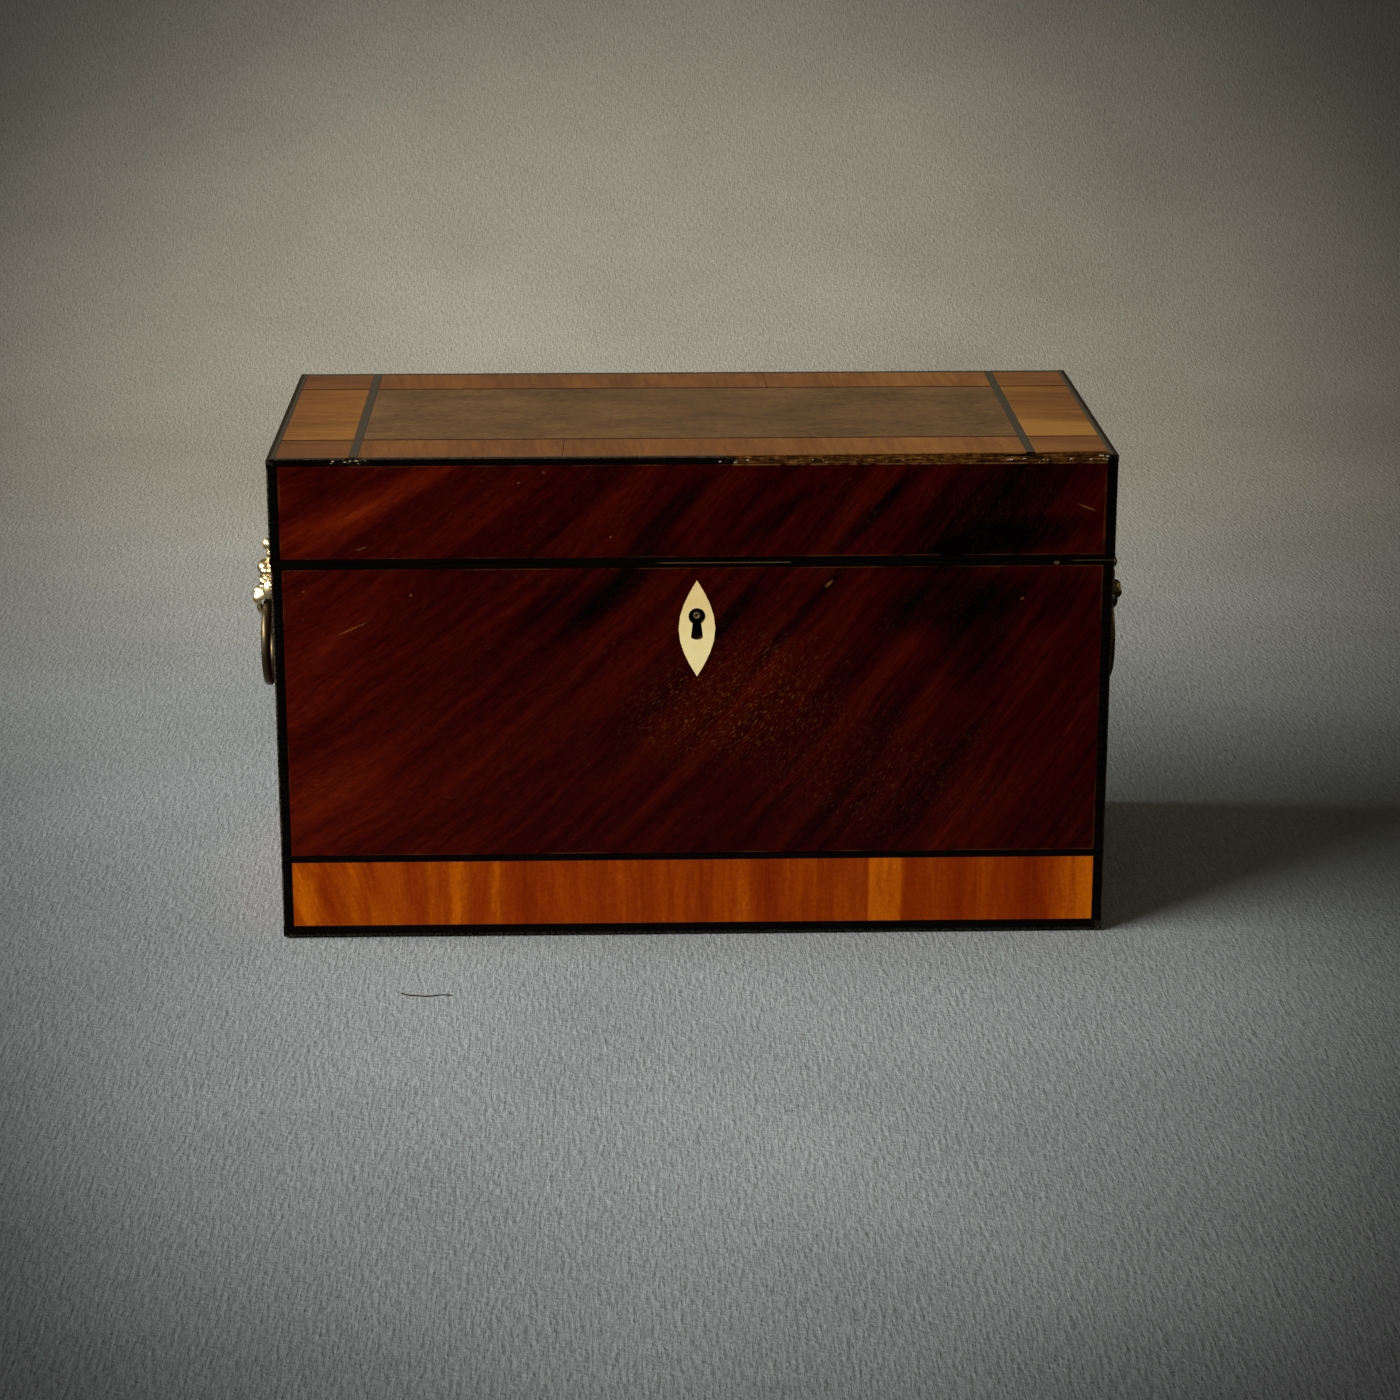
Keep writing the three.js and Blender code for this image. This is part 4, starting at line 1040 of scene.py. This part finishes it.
def screw(name, centre, facing, body, radius=1.7, turn=0.4):
    """A slotted countersunk brass screw whose head lies flush. `facing` is the way it looks."""
    profile = [(0.0, 0.0), (0.82, 0.0), (1.0, -0.12), (0.45, -0.9), (0.0, -0.9)]
    head = turned(name, [(share * radius, depth) for share, depth in profile], 32)
    slot = bmesh.new()
    bmesh.ops.create_cube(slot, size=1.0)
    bmesh.ops.scale(slot, vec=Vector((3 * radius, 0.45, 0.8)) * MM, verts=slot.verts)
    bmesh.ops.rotate(slot, matrix=Matrix.Rotation(turn, 3, "Z"), verts=slot.verts)
    mesh = cut_away(head, mesh_of(slot, "slot"))
    # Painted shade: the slot is darkened.
    paint(mesh, "hollow", [1.0 if v.co.z < -0.0002 else 0.1 for v in mesh.vertices])
    turn_to = Vector((0, 0, 1)).rotation_difference(Vector(facing)).to_matrix().to_4x4()
    mesh.transform(Matrix.Translation(Vector(centre) * MM) @ turn_to)
    sharpen(mesh, 35.0)
    add_piece(name, mesh, "worn_brass", body)


def build_drill_pin():
    """The lock's pin, which shows in the keyhole and fits the bore of a key."""
    start, end = -76.6, -67.05
    profile = [
        (0.0, start + 0.45), (0.45, start + 0.4), (0.6, start + 0.05), (0.9, start - 0.02),
        (1.25, start + 0.08), (1.45, start + 0.4), (1.48, start + 1.0), (1.48, end), (0.0, end),
    ]
    mesh = turned("drill_pin", profile, 32)
    mesh.transform(Matrix.Translation(Vector((LOCK_X, 0, KEYHOLE_Z)) * MM)
                   @ Matrix.Rotation(math.radians(-90), 4, "X"))
    # Painted shade: the pin, deep in the keyhole, is darkened all over, its tip a little less.
    tip = [abs(v.co.y / MM - start) < 0.2 for v in mesh.vertices]
    paint(mesh, "hollow", [0.85 if near else 1.0 for near in tip])
    add_piece("drill_pin", mesh, "worn_brass", "case", ["lock_pin"])


def build_lock():
    refined("lock_case", "box_lock", "lock_brass", "case")
    refined("lock_bolt", "sliding_bolt", "worn_brass", "lock_bolt")
    refined("lock_link_plate", "link_plate", "worn_brass", "lid")
    for side, word in SIDES:
        screw(f"lock_screw_{word}", (LOCK_X + side * 25.6, -69.8, CASE_TOP), (0, 0, 1), "case",
              turn=0.3 + side)
        screw(f"link_plate_screw_{word}", (LOCK_X + side * 18.4, -70.9, LID_FOOT), (0, 0, -1), "lid",
              turn=0.9 - side)


def build_hinges():
    for side, word in SIDES:
        refined(f"{word}_hinge_case_leaf", f"{word}_hinge_lower_leaf", "worn_brass", "case", 0.1)
        refined(f"{word}_hinge_lid_leaf", f"{word}_hinge_upper_leaf", "worn_brass", "lid", 0.1)
        refined(f"{word}_hinge_pin", f"{word}_hinge_rod", "worn_brass", "case")
        for index, offset in enumerate((-11, 0, 11)):
            x = side * HINGE_X + offset
            screw(f"{word}_lower_screw_{index}", (x, 73.0, CASE_TOP), (0, 0, 1), "case",
                  1.5, index + side)
            screw(f"{word}_upper_screw_{index}", (x, 73.0, LID_FOOT), (0, 0, -1), "lid",
                  1.5, 2 * index - side)


# ---- Lion mask handles ----

# Rounded masses of the lion's head: out from the case, across and up, then the three radii.
FACE = [
    ((2.6, 0.0, 119.5), (6.6, 8.6, 11.0)),  # skull
    ((9.0, 0.0, 122.9), (3.8, 4.8, 3.3)),  # brow
    ((9.2, 0.0, 117.4), (3.0, 2.4, 5.0)),  # bridge of the nose
    ((12.0, 0.0, 113.6), (2.5, 2.5, 2.0)),  # nose
    ((9.9, 0.0, 111.8), (4.8, 4.4, 4.4)),  # muzzle
    ((9.2, 0.0, 107.2), (4.4, 3.4, 4.0)),  # jaw, which holds the ring
    ((7.6, 0.0, 131.8), (2.9, 2.7, 2.7)),  # forelock
    ((5.6, 0.0, 127.8), (3.6, 4.2, 3.0)),  # root of the forelock
]
PAIRED = [
    ((8.6, 3.3, 122.2), (3.0, 3.0, 2.1)),  # side of the brow
    ((7.2, 5.6, 115.4), (3.4, 3.0, 4.2)),  # cheek
    ((11.7, 1.8, 111.0), (3.1, 2.5, 2.8)),  # whisker pad
    ((4.6, 7.6, 126.0), (2.4, 2.2, 2.7)),  # ear
]
EYE_ACROSS = 3.5
EYE_UP = 118.9


class Masses:
    """Overlapping ellipsoids on one side of the case, gathered into a single mesh."""

    def __init__(self, side):
        shape = bmesh.new()
        bmesh.ops.create_icosphere(shape, subdivisions=3, radius=1.0)
        self.ball = np.array([v.co[:] for v in shape.verts])
        self.ball_faces = np.array([[v.index for v in face.verts] for face in shape.faces])
        shape.free()
        self.side = side
        self.points = []
        self.faces = []

    def add(self, middle, radii, cross=1):
        centre = (self.side * (HALF_WIDTH + middle[0]), cross * middle[1], middle[2])
        self.faces.append(self.ball_faces + len(self.ball) * len(self.points))
        self.points.append(self.ball * radii + centre)

    def mane_lock(self, angle, start, length, curl, thick):
        """One wavy lock: a chain of shrinking balls that bends away from the face."""
        for step in range(10):
            t = step / 9
            bend = angle + curl * t * t
            reach = start + length * t
            size = thick * (1 - 0.55 * t) + 0.2
            out = 4.6 * math.cos(t * 1.35) + 0.2
            place = (out, reach * math.cos(bend), MASK_Z + reach * 1.1 * math.sin(bend))
            self.add(place, (size, size, size))

    def mesh(self, name):
        return mesh_from(name, np.concatenate(self.points), np.concatenate(self.faces).tolist())


def fused(mesh, voxel, smoothing):
    """The mesh remade as one skin and softened."""
    return modified(mesh, {
        "REMESH": {"mode": "VOXEL", "voxel_size": voxel * MM},
        "SMOOTH": {"factor": 0.5, "iterations": smoothing},
    })


def lion_mask(side, word):
    """A cast lion's head, cut flat behind and bored through the jaw for the ring."""
    head = Masses(side)
    for middle, radii in FACE:
        head.add(middle, radii)
    for middle, radii in PAIRED:
        for cross in (-1, 1):
            head.add(middle, radii, cross)
    locks = 14
    for index in range(locks):
        angle = math.radians(90 + 360 * (index + 0.5) / locks)
        short = math.sin(angle) < -0.7
        head.mane_lock(angle, 6.4, 3.0 if short else 4.6, 0.22, 2.9)
    skin = fused(head.mesh("mask_masses"), voxel=0.28, smoothing=9)
    carve_face(skin, side)
    mesh = cut_away(skin, mask_cutter(side))
    mesh.shade_smooth()
    sharpen(mesh)
    paint(mesh, "hollow", hollow_grime_and_shade(mesh, side))
    # The right mask takes the darker brass: painted shade on the side away from the window.
    finish = "bright_brass" if side < 0 else "tarnished_shaded_brass"
    add_piece(f"{word}_lion_mask", mesh, finish, "case", [f"{word}_mask"])


def mask_cutter(side):
    """The flat of the case's side, and the ring's hole through the jaw."""
    cutter = bmesh.new()
    wall = bmesh.ops.create_cube(cutter, size=1.0)["verts"]
    bmesh.ops.scale(cutter, vec=Vector((20, 60, 60)) * MM, verts=wall)
    place = Vector((side * (HALF_WIDTH - 10 + JOINT), 0, MASK_Z)) * MM
    bmesh.ops.translate(cutter, vec=place, verts=wall)
    bore = bmesh.ops.create_cone(cutter, cap_ends=True, segments=48, radius1=MOUTH_RADIUS * MM,
                                 radius2=MOUTH_RADIUS * MM, depth=40 * MM)["verts"]
    bmesh.ops.rotate(cutter, matrix=Matrix.Rotation(math.radians(90), 3, "X"), verts=bore)
    place = Vector((side * (HALF_WIDTH + HANDLE_OUT), 0, HANDLE_Z)) * MM
    bmesh.ops.translate(cutter, vec=place, verts=bore)
    return mesh_of(cutter, "mask_tool")


def dip(distance, width):
    """1 at no distance, falling off smoothly over the width."""
    return np.exp(-(distance / width) ** 2)


def read_points(mesh):
    """A mesh's vertices and normals as arrays, the vertices in millimetres."""
    place = np.empty(len(mesh.vertices) * 3, np.float32)
    normal = np.empty(len(mesh.vertices) * 3, np.float32)
    mesh.vertices.foreach_get("co", place)
    mesh.vertex_normals.foreach_get("vector", normal)
    return place.reshape(-1, 3).astype(float) / MM, normal.reshape(-1, 3).astype(float)


def carve_face(mesh, side):
    """Engraves the eyes, the mouth, the nostrils, the whiskers and the lines of the mane."""
    place, normal = read_points(mesh)
    out = side * place[:, 0] - HALF_WIDTH
    across = np.abs(place[:, 1])
    up = place[:, 2]
    face = out > 6.5
    from_eye = np.hypot((across - EYE_ACROSS) / 1.6, (up - EYE_UP) / 1.0)
    push = face * (0.45 * dip(from_eye, 0.6) - 0.8 * dip(from_eye - 1.15, 0.35))
    push -= 0.5 * (out > 11) * dip(np.hypot((across - 1.1) / 1.2, up - 113.0), 0.45)
    mouth = np.abs(up - (109.4 - 0.1 * across ** 2))
    push -= 0.6 * (out > 8) * (across < 4.4) * dip(mouth, 0.35)
    push -= 0.4 * (out > 11) * (np.abs(up - 111.2) < 1.5) * dip(across, 0.3)
    furrow = (up > 120) * (up < 125) * (out > 8)
    push -= 0.45 * furrow * dip(across, 0.35)
    reach = np.hypot(across, (up - MASK_Z) / 1.1)
    angle = np.arctan2(up - MASK_Z, across)
    strands = np.maximum(0.0, np.sin(angle * 48 + reach * 1.2)) ** 2
    push -= 0.17 * (reach > 7.6) * (out < 7.5) * strands
    push -= 0.15 * (up > 126.5) * np.maximum(0.0, np.sin(place[:, 1] * 4.6)) ** 2
    moved = (place + normal * push[:, None]) * MM
    mesh.vertices.foreach_set("co", moved.astype(np.float32).ravel())
    mesh.update()


def hollow_grime_and_shade(mesh, side):
    """How far each vertex lies below its neighbourhood, from 0 to 1, for dirt and painted shade in the
    hollows, with painted shade added where the mask meets the case.
    """
    place, normal = read_points(mesh)
    pairs = np.array([edge.vertices[:] for edge in mesh.edges])
    average = place.copy()
    for _ in range(8):
        total = average.copy()
        degree = np.ones(len(place))
        for a, b in ((0, 1), (1, 0)):
            np.add.at(total, pairs[:, a], average[pairs[:, b]])
            np.add.at(degree, pairs[:, a], 1)
        average = total / degree[:, None]
    depth = ((average - place) * normal).sum(1)
    # Painted shade where the mask meets the case's side.
    near_wall = np.clip(1 - (side * place[:, 0] - HALF_WIDTH) / 1.6, 0, 1)
    return np.clip(np.clip((depth - 0.03) * 7.0, 0, 1) + 0.6 * near_wall, 0, 1)


def handle_ring(side, word):
    """A cast ring, filed by hand so that its wire is never quite even."""
    turns, segments = 120, 20
    points = []
    for i in range(turns):
        around = 2 * math.pi * i / turns
        wire = RING_WIRE * (1 - 0.05 * abs(noise_at(i * 0.14, side * 5, 2)))
        for inward, out in circle(wire, segments):
            reach = RING_RADIUS + inward
            points.append((
                side * (HALF_WIDTH + HANDLE_OUT) + out,
                reach * math.sin(around),
                HANDLE_Z - RING_RADIUS + reach * math.cos(around),
            ))
    mesh = mesh_from(f"{word}_handle_ring", points, quads(turns, segments, torus=True))
    # Tarnish and painted shade darken the ring all over.
    paint(mesh, "hollow", [0.4] * len(mesh.vertices))
    add_piece(f"{word}_handle_ring", mesh, "tarnished_shaded_brass", f"{word}_ring", [f"{word}_ring"])


def build_handles():
    for side, word in SIDES:
        lion_mask(side, word)
        handle_ring(side, word)


# ---- Lid ----


def broken_edging():
    """What is left of the front top edging: sound to the left, splintered where it broke."""
    low, high = -(LID_HALF_WIDTH - TOP_EDGING_WIDTH - JOINT), LOSS_START
    count = 150
    rings = []
    wear = []
    for step in range(count + 1):
        along = low + (high - low) * step / count
        chip = math.exp(-((along + 121.5) / 4.5) ** 2) * (0.5 + 0.5 * noise_at(along * 1.1, 2, 2))
        rubbing = max(0.0, noise_at(along * 0.07, 4, 4))
        ends = max(0.0, 1 - (high - along) / 3.0) * (0.5 + 0.5 * noise_at(along * 2.0, 8, 1))
        outer = min(1.25, 0.25 + 0.25 * rubbing + 0.9 * chip + 0.8 * ends)
        y = (-HALF_DEPTH, -HALF_DEPTH + TOP_EDGING_WIDTH - JOINT)
        z = (TOP_EDGING_BOTTOM + JOINT, TOTAL_HEIGHT - 0.5 * chip - 0.9 * ends)
        ring = section(y, z, [SHARP, SHARP, SHARP, outer])
        rings.append([(along, p, q) for p, q in ring])
        # The arris points are marked paler, wear with a painted highlight; chipped places are marked
        # for wear.
        wear += [1.0 if index in (13, 14) else 0.5 * (chip + ends) for index in range(len(ring))]
    mesh = loft("top_edging_front", rings)
    sharpen(mesh)
    paint(mesh, "wear", np.clip(wear, 0, 1))
    add_piece("top_edging_front", mesh, "ebony", "lid", ["lid_edging"])


def torn_edge():
    """Splintered wood in the bed of the lost edging, up to the broken front of the top veneers."""
    start, end = LOSS_START + 0.3, LID_HALF_WIDTH - POST - 0.1
    step_y = -(HALF_DEPTH - TOP_EDGING_WIDTH) - 0.05
    front_y = -HALF_DEPTH + 0.25
    bed = TOP_EDGING_BOTTOM + 0.03
    ledge = TOP_VENEER_BOTTOM + 0.03
    steps = 16
    rings = []
    deep = []
    count = 460
    for step in range(count + 1):
        x = start + (end - start) * step / count
        back_y = broken_front(x) - 0.06
        ring = [(x, step_y, bed), (x, step_y, ledge), (x, back_y, ledge)]
        deep += [0.0, 0.0, 0.0]
        hole = 1.7 * dip(x - 117.5, 5.5) + 0.25 * max(0.0, noise_at(x * 0.07, 5, 5))
        for k in range(steps + 1):
            t = k / steps
            y = back_y + (front_y - back_y) * t
            slope = 182.0 - 1.9 * t ** 1.3
            fibre = noise_at(x * 0.09, t * 4.0, 1.5) + 0.6 * noise_at(x * 0.4, t * 11.0, 7.5)
            groove = 0.8 * dip(t - 0.07, 0.06) + hole * dip(t - 0.25, 0.2)
            layer = 0.7 * dip(t - 0.5, 0.06) * (x > 122)
            z = slope + 0.3 * fibre * math.sin(math.pi * t) - groove - layer
            floor = (ledge if y > step_y else bed) + 0.03
            ring.append((x, y, min(max(z, floor), 182.05)))
            # Painted shade for the grooves and the layer line.
            deep.append(min(1.0, 1.3 * groove + 1.6 * layer))
        ring.append((x, front_y, bed))
        deep.append(0.0)
        rings.append(ring)
    mesh = loft("torn_edge", rings)
    sharpen(mesh, 25.0)
    paint(mesh, "deep", deep)
    add_piece("torn_edge", mesh, "raw", "lid")


def splinters(rng):
    """Loose fibres along the torn bed."""
    shape = bmesh.new()
    for _ in range(SPLINTERS):
        x = rng.uniform(LOSS_START + 3, LID_HALF_WIDTH - POST - 6)
        length = rng.uniform(1.5, 6.0)
        place = Vector((x, rng.uniform(-77.0, -74.9), rng.uniform(179.8, 181.0)))
        sliver = bmesh.ops.create_cone(
            shape, cap_ends=True, segments=5, radius1=rng.uniform(0.10, 0.2) * MM,
            radius2=0.03 * MM, depth=length * MM)["verts"]
        lay = Matrix.Rotation(math.radians(90 + rng.uniform(-7, 7)), 3, "Y")
        lay = Matrix.Rotation(math.radians(rng.uniform(-8, 8)), 3, "Z") @ lay
        bmesh.ops.rotate(shape, matrix=lay, verts=sliver)
        bmesh.ops.translate(shape, vec=place * MM, verts=sliver)
    add_piece("edge_splinters", mesh_of(shape, "edge_splinters"), "raw", "lid")


# Clusters of pale flakes along the front: middle, spread and number.
FLAKE_SPOTS = [
    (113.8, 0.3, 5), (118.9, 0.3, 4), (128, 6.0, 12), (148.6, 2.2, 20), (15.6, 0.7, 5),
    (60, 30.0, 16), (-121.5, 4.0, 12),
]


def flakes(rng):
    """Pale flakes where the break is freshest, and on the chipped end of the edging."""
    shape = bmesh.new()
    for middle, spread, number in FLAKE_SPOTS:
        for _ in range(number):
            x = rng.gauss(middle, spread)
            on_break = x > LOSS_START
            if not -LID_HALF_WIDTH < x < LID_HALF_WIDTH - 1.0:
                continue
            high = 181.9 if middle > 140 else 180.6
            height = rng.uniform(179.7, high) if on_break else rng.uniform(180.3, 181.6)
            depth = rng.uniform(-77.2, -76.2) if on_break else -77.42
            flake = bmesh.ops.create_icosphere(shape, subdivisions=2, radius=1.0)["verts"]
            size = rng.uniform(0.12, 0.48)
            bmesh.ops.scale(shape, vec=Vector((1.6, 0.5, 0.7)) * size * MM, verts=flake)
            for vertex in flake:
                vertex.co *= 1 + 0.35 * noise.noise(vertex.co / MM * 3 + Vector((x, 0, 0)))
            bmesh.ops.translate(shape, vec=Vector((x, depth, height)) * MM, verts=flake)
    add_piece("edge_flakes", mesh_of(shape, "edge_flakes"), "chip", "lid")


def build_lid_top():
    z = (TOP_VENEER_BOTTOM + 0.02, TOTAL_HEIGHT)
    end_x = LID_HALF_WIDTH - TOP_EDGING_WIDTH - JOINT
    edge_y = HALF_DEPTH - TOP_EDGING_WIDTH - JOINT
    cross_in, cross_out = CROSS_STRING[0] - JOINT, CROSS_STRING[1] + JOINT
    margin = FINE_STRING / 2 + JOINT
    rows = {
        "front": (-edge_y + JOINT, FRONT_STRING_Y - margin),
        "middle": (FRONT_STRING_Y + margin, BACK_STRING_Y - margin),
        "back": (BACK_STRING_Y + margin, edge_y - JOINT),
    }
    for side, word in SIDES:
        broken = broken_front if side > 0 else None
        string_x = sorted((side * (CROSS_STRING[0] + JOINT), side * (CROSS_STRING[1] - JOINT)))
        veneer(f"{word}_cross_stringing", string_x, (-edge_y, edge_y), z, "ebony", "lid",
               seed=side, stands_for=[f"{word}_cross_string"], front=broken)
        panel_x = sorted((side * cross_out, side * end_x))
        for place, row in rows.items():
            middle = place == "middle"
            veneer(f"{word}_end_{place}", panel_x, row, z, "top_end" if middle else "top_field", "lid",
                   seed=side * 7 + row[0] - JOINT, stands_for=[f"lid_{word}_end"] if middle else (),
                   front=broken if place == "front" else None)
    veneer("centre_panel", (-cross_in, cross_in), rows["middle"], z, "faded", "lid",
           stands_for=["lid_centre_panel"])
    banding("front_banding", rows["front"], [-cross_in, -46.8, cross_in], z, "lid_front_band", 0.5)
    banding("back_banding", rows["back"], [-cross_in, 31.7, 57.7, cross_in], z, "lid_back_band", -0.6)
    spans = {"left": (-end_x, -cross_out), "middle": (-cross_in, cross_in), "right": (cross_out, end_x)}
    for y, word in ((FRONT_STRING_Y, "front"), (BACK_STRING_Y, "back")):
        across = (y - FINE_STRING / 2 + JOINT, y + FINE_STRING / 2 - JOINT)
        for place, x in spans.items():
            strip(f"{word}_fine_string_{place}", x, across, (z[0], z[1] - 0.06), "fine_line", "lid")


def banding(name, row, joints, z, node, lean):
    """A band made of several leaves of veneer, with slanting butt joints between them."""
    last = len(joints) - 2
    for index, (start, end) in enumerate(zip(joints, joints[1:])):
        leans = (lean if index else 0.0, lean if index < last else 0.0)
        veneer(f"{name}_{index}", (start + (0.15 if index else 0.0), end), row, z, "top_band", "lid",
               leans, seed=index * 3 + start, stands_for=() if index else [node],
               front=broken_front if row[0] < 0 and end > LOSS_START else None)


def build_lid():
    frame_of_strips("lid_rim", LID_HALF_WIDTH, POST, LID_RIM, "lid", 0, 51.0)
    corner_strips("lid_corner", LID_HALF_WIDTH, (LID_RIM[1], TOP_EDGING_BOTTOM), "lid", 67.0)
    frame_of_strips("top_edging", LID_HALF_WIDTH, TOP_EDGING_WIDTH,
                    (TOP_EDGING_BOTTOM, TOTAL_HEIGHT), "lid", 1, 83.0, skip_front=True)
    broken_edging()
    torn_edge()
    rng = random.Random(4)
    splinters(rng)
    flakes(rng)
    build_lid_top()


def build_lid_lining():
    """Velvet glued into the lid, slightly quilted by age."""
    half_x, half_y = LINING_HALF
    top, bottom = LINING_HEIGHTS
    columns, rows = 97, 47
    upper = []
    lower = []
    for y in np.linspace(-half_y, half_y, rows):
        for x in np.linspace(-half_x, half_x, columns):
            sag = 0.14 * noise_at(x * 0.05, y * 0.05, 3) + 0.05 * noise_at(x * 0.3, y * 0.3, 9)
            upper.append((x, y, top))
            lower.append((x, y, bottom + sag))
    size = len(upper)
    faces = quads(rows, columns)
    faces += [tuple(size + index for index in face) for face in faces]
    rim = rim_of(rows, columns)
    faces += [(a, b, size + b, size + a) for a, b in zip(rim, rim[1:] + rim[:1])]
    mesh = mesh_from("velvet_lining", upper + lower, faces)
    sharpen(mesh, 60.0)
    sheet = add_piece("velvet_lining", mesh, "velvet", "lid", ["lid_lining"])


# ---- Canisters and bowl ----


def build_knobs():
    """A turned bone knob on each canister's lid, with a short stem that goes into the wood."""
    base = CANISTER_TOP
    above = smoothed([
        (5.15, base + 0.1), (5.15, base + 0.9), (4.0, base + 1.4), (2.6, base + 2.5),
        (2.4, base + 3.5), (3.3, base + 4.3), (5.2, base + 5.4), (5.95, base + 7.4),
        (5.1, base + 9.7), (3.0, base + 11.1), (1.0, base + 11.6),
    ])
    stem = [(0.0, base - 2.6), (2.3, base - 2.6), (2.3, base + 0.05), (5.15, base + 0.05)]
    for side, word in SIDES:
        mesh = turned(f"{word}_knob", [*stem, *above, (0.0, base + 11.65)], 48,
                      (side * CANISTER_X, 0.0))
        sharpen(mesh)
        add_piece(f"{word}_knob", mesh, "bone", f"{word}_canister_lid", [f"{word}_canister_knob"])


def build_bowl():
    """Blown glass, flared at the rim and cut with shallow flutes round the lower half."""
    wall = [(24.6, 41), (31, 49), (38, 62), (42.5, 80), (45.4, 117)]
    outer = smoothed([(25, 34.2), (26, 37), *wall])
    rim = smoothed([(45.4, 118.2), (49.4, 118.3), (49.9, 121), (48.9, 122.8), (47.2, 122.6)])
    inner = smoothed([(45.4, 120.5), (39.6, 80), (34.7, 62), (26.2, 49.4), (12, 45.4), (1, 45.1)])
    profile = [(0.0, 34.6), (23, 34.3), *outer, *rim, *inner, (0.0, 45.1)]
    mesh = turned("mixing_bowl", profile, 144)
    wall_reaches, wall_heights = zip(*wall)
    low, high = 44, 84
    for vertex in mesh.vertices:
        height = vertex.co.z / MM
        reach = math.hypot(vertex.co.x, vertex.co.y) / MM
        outside = reach > np.interp(height, wall_heights, wall_reaches) - 1.2
        if low < height < high and outside:
            angle = math.atan2(vertex.co.y, vertex.co.x)
            fade = math.sin(math.pi * (height - low) / (high - low))
            depth = 0.55 * fade * abs(math.sin(angle * 12)) ** 0.7
            vertex.co.x *= 1 - depth / reach
            vertex.co.y *= 1 - depth / reach
    add_piece("mixing_bowl", mesh, "glass", "bowl", ["glass_bowl"])


# ---- Stage, light and camera ----


def build_stage():
    """One length of cloth that lies on the table and sweeps up behind the caddy. In metres."""
    front, back, radius, top, half_width = -2.2, 0.75, 0.9, 2.6, 2.4
    profile = [(y, 0.0) for y in np.linspace(front, back, 41)]
    for angle in np.radians(np.linspace(0, 90, 25)[1:]):
        profile.append((back + radius * math.sin(angle), radius - radius * math.cos(angle)))
    profile.append((back + radius, top))
    columns = np.linspace(-half_width, half_width, 81)
    points = []
    for y, z in profile:
        for x in columns:
            away = max(0.0, math.hypot(x, y) - 0.35)
            swell = 0.004 * min(1.0, away * 2) * noise_at(x * 2.2, y * 2.2 + z, 1)
            forward = swell if z > radius else 0.0
            points.append((x / MM, (y + forward) / MM, (z + swell) / MM - 0.02))
    mesh = mesh_from("backdrop", points, quads(len(profile), len(columns)))
    add_to_stage("backdrop", mesh, "cloth")


def build_fibre():
    """A stray dark fibre that lies on the cloth in front of the caddy."""
    rings = []
    for t in np.linspace(0.0, 1.0, 25):
        x = -106.0 + 18.5 * t
        y = -137.0 + 0.9 * noise_at(t * 3.0, 6.0, 2.0) + 15.0 * max(0.0, 0.18 - t)
        rings.append([(x, y + across, 0.25 + up) for across, up in circle(0.28 - 0.12 * t, 8)])
    add_to_stage("fibre", loft("fibre", rings), "back_wood")


def aim(thing, place, ahead):
    """Puts a light or the camera in its place, looking along `ahead`."""
    thing.location = place
    thing.rotation_euler = ahead.to_track_quat("-Z", "Y").to_euler()


def add_light(name, place, target, size, power, colour):
    light = bpy.data.lights.new(name, "AREA")
    light.shape = "RECTANGLE"
    light.size, light.size_y = size
    light.energy = power
    light.color = colour
    aim(add_object(name, light), place, Vector(target) - Vector(place))


def light_scene():
    """A broad window to the left and a little in front, a dim pale wall beyond the cloth, and a
    faint warm glow from the room on the right."""
    world = bpy.data.worlds.new("room")
    world.use_nodes = True
    world.node_tree.nodes["Background"].inputs[0].default_value = (0.62, 0.55, 0.41, 1)
    world.node_tree.nodes["Background"].inputs[1].default_value = 0.28
    bpy.context.scene.world = world
    add_light("window", (-2.0, -0.68, 1.25), (0.0, 0.0, 0.05), (2.3, 0.9), 178.0, (1.0, 0.99, 0.97))
    add_light("far_wall", (0.0, 1.62, 0.80), (0.0, 0.0, 0.18), (1.8, 0.5), 0.55, (1.0, 0.95, 0.85))
    add_light("room_glow", (1.3, 0.35, 0.50), (0.35, 0.0, 0.0), (0.5, 0.5), 1.2, (1.0, 0.78, 0.45))


def add_camera():
    """A long lens from the front, a little left of the middle, looking down at the caddy."""
    lens = bpy.data.cameras.new("camera")
    lens.lens = CAMERA_LENS
    lens.sensor_width = 36.0
    lens.clip_start = 0.05
    lens.clip_end = 20.0
    camera = add_object("camera", lens)
    aim(camera, CAMERA_PLACE, sight_axes(CAMERA_TURN, CAMERA_TILT)[0])
    bpy.context.scene.camera = camera


ease_nodes()
build_case()
build_base_baize()
build_drill_pin()
build_lock()
build_hinges()
build_handles()
build_lid()
build_lid_lining()
build_knobs()
build_bowl()
build_stage()
build_fibre()
light_scene()
add_camera()
bpy.context.scene.view_settings.view_transform = "Standard"
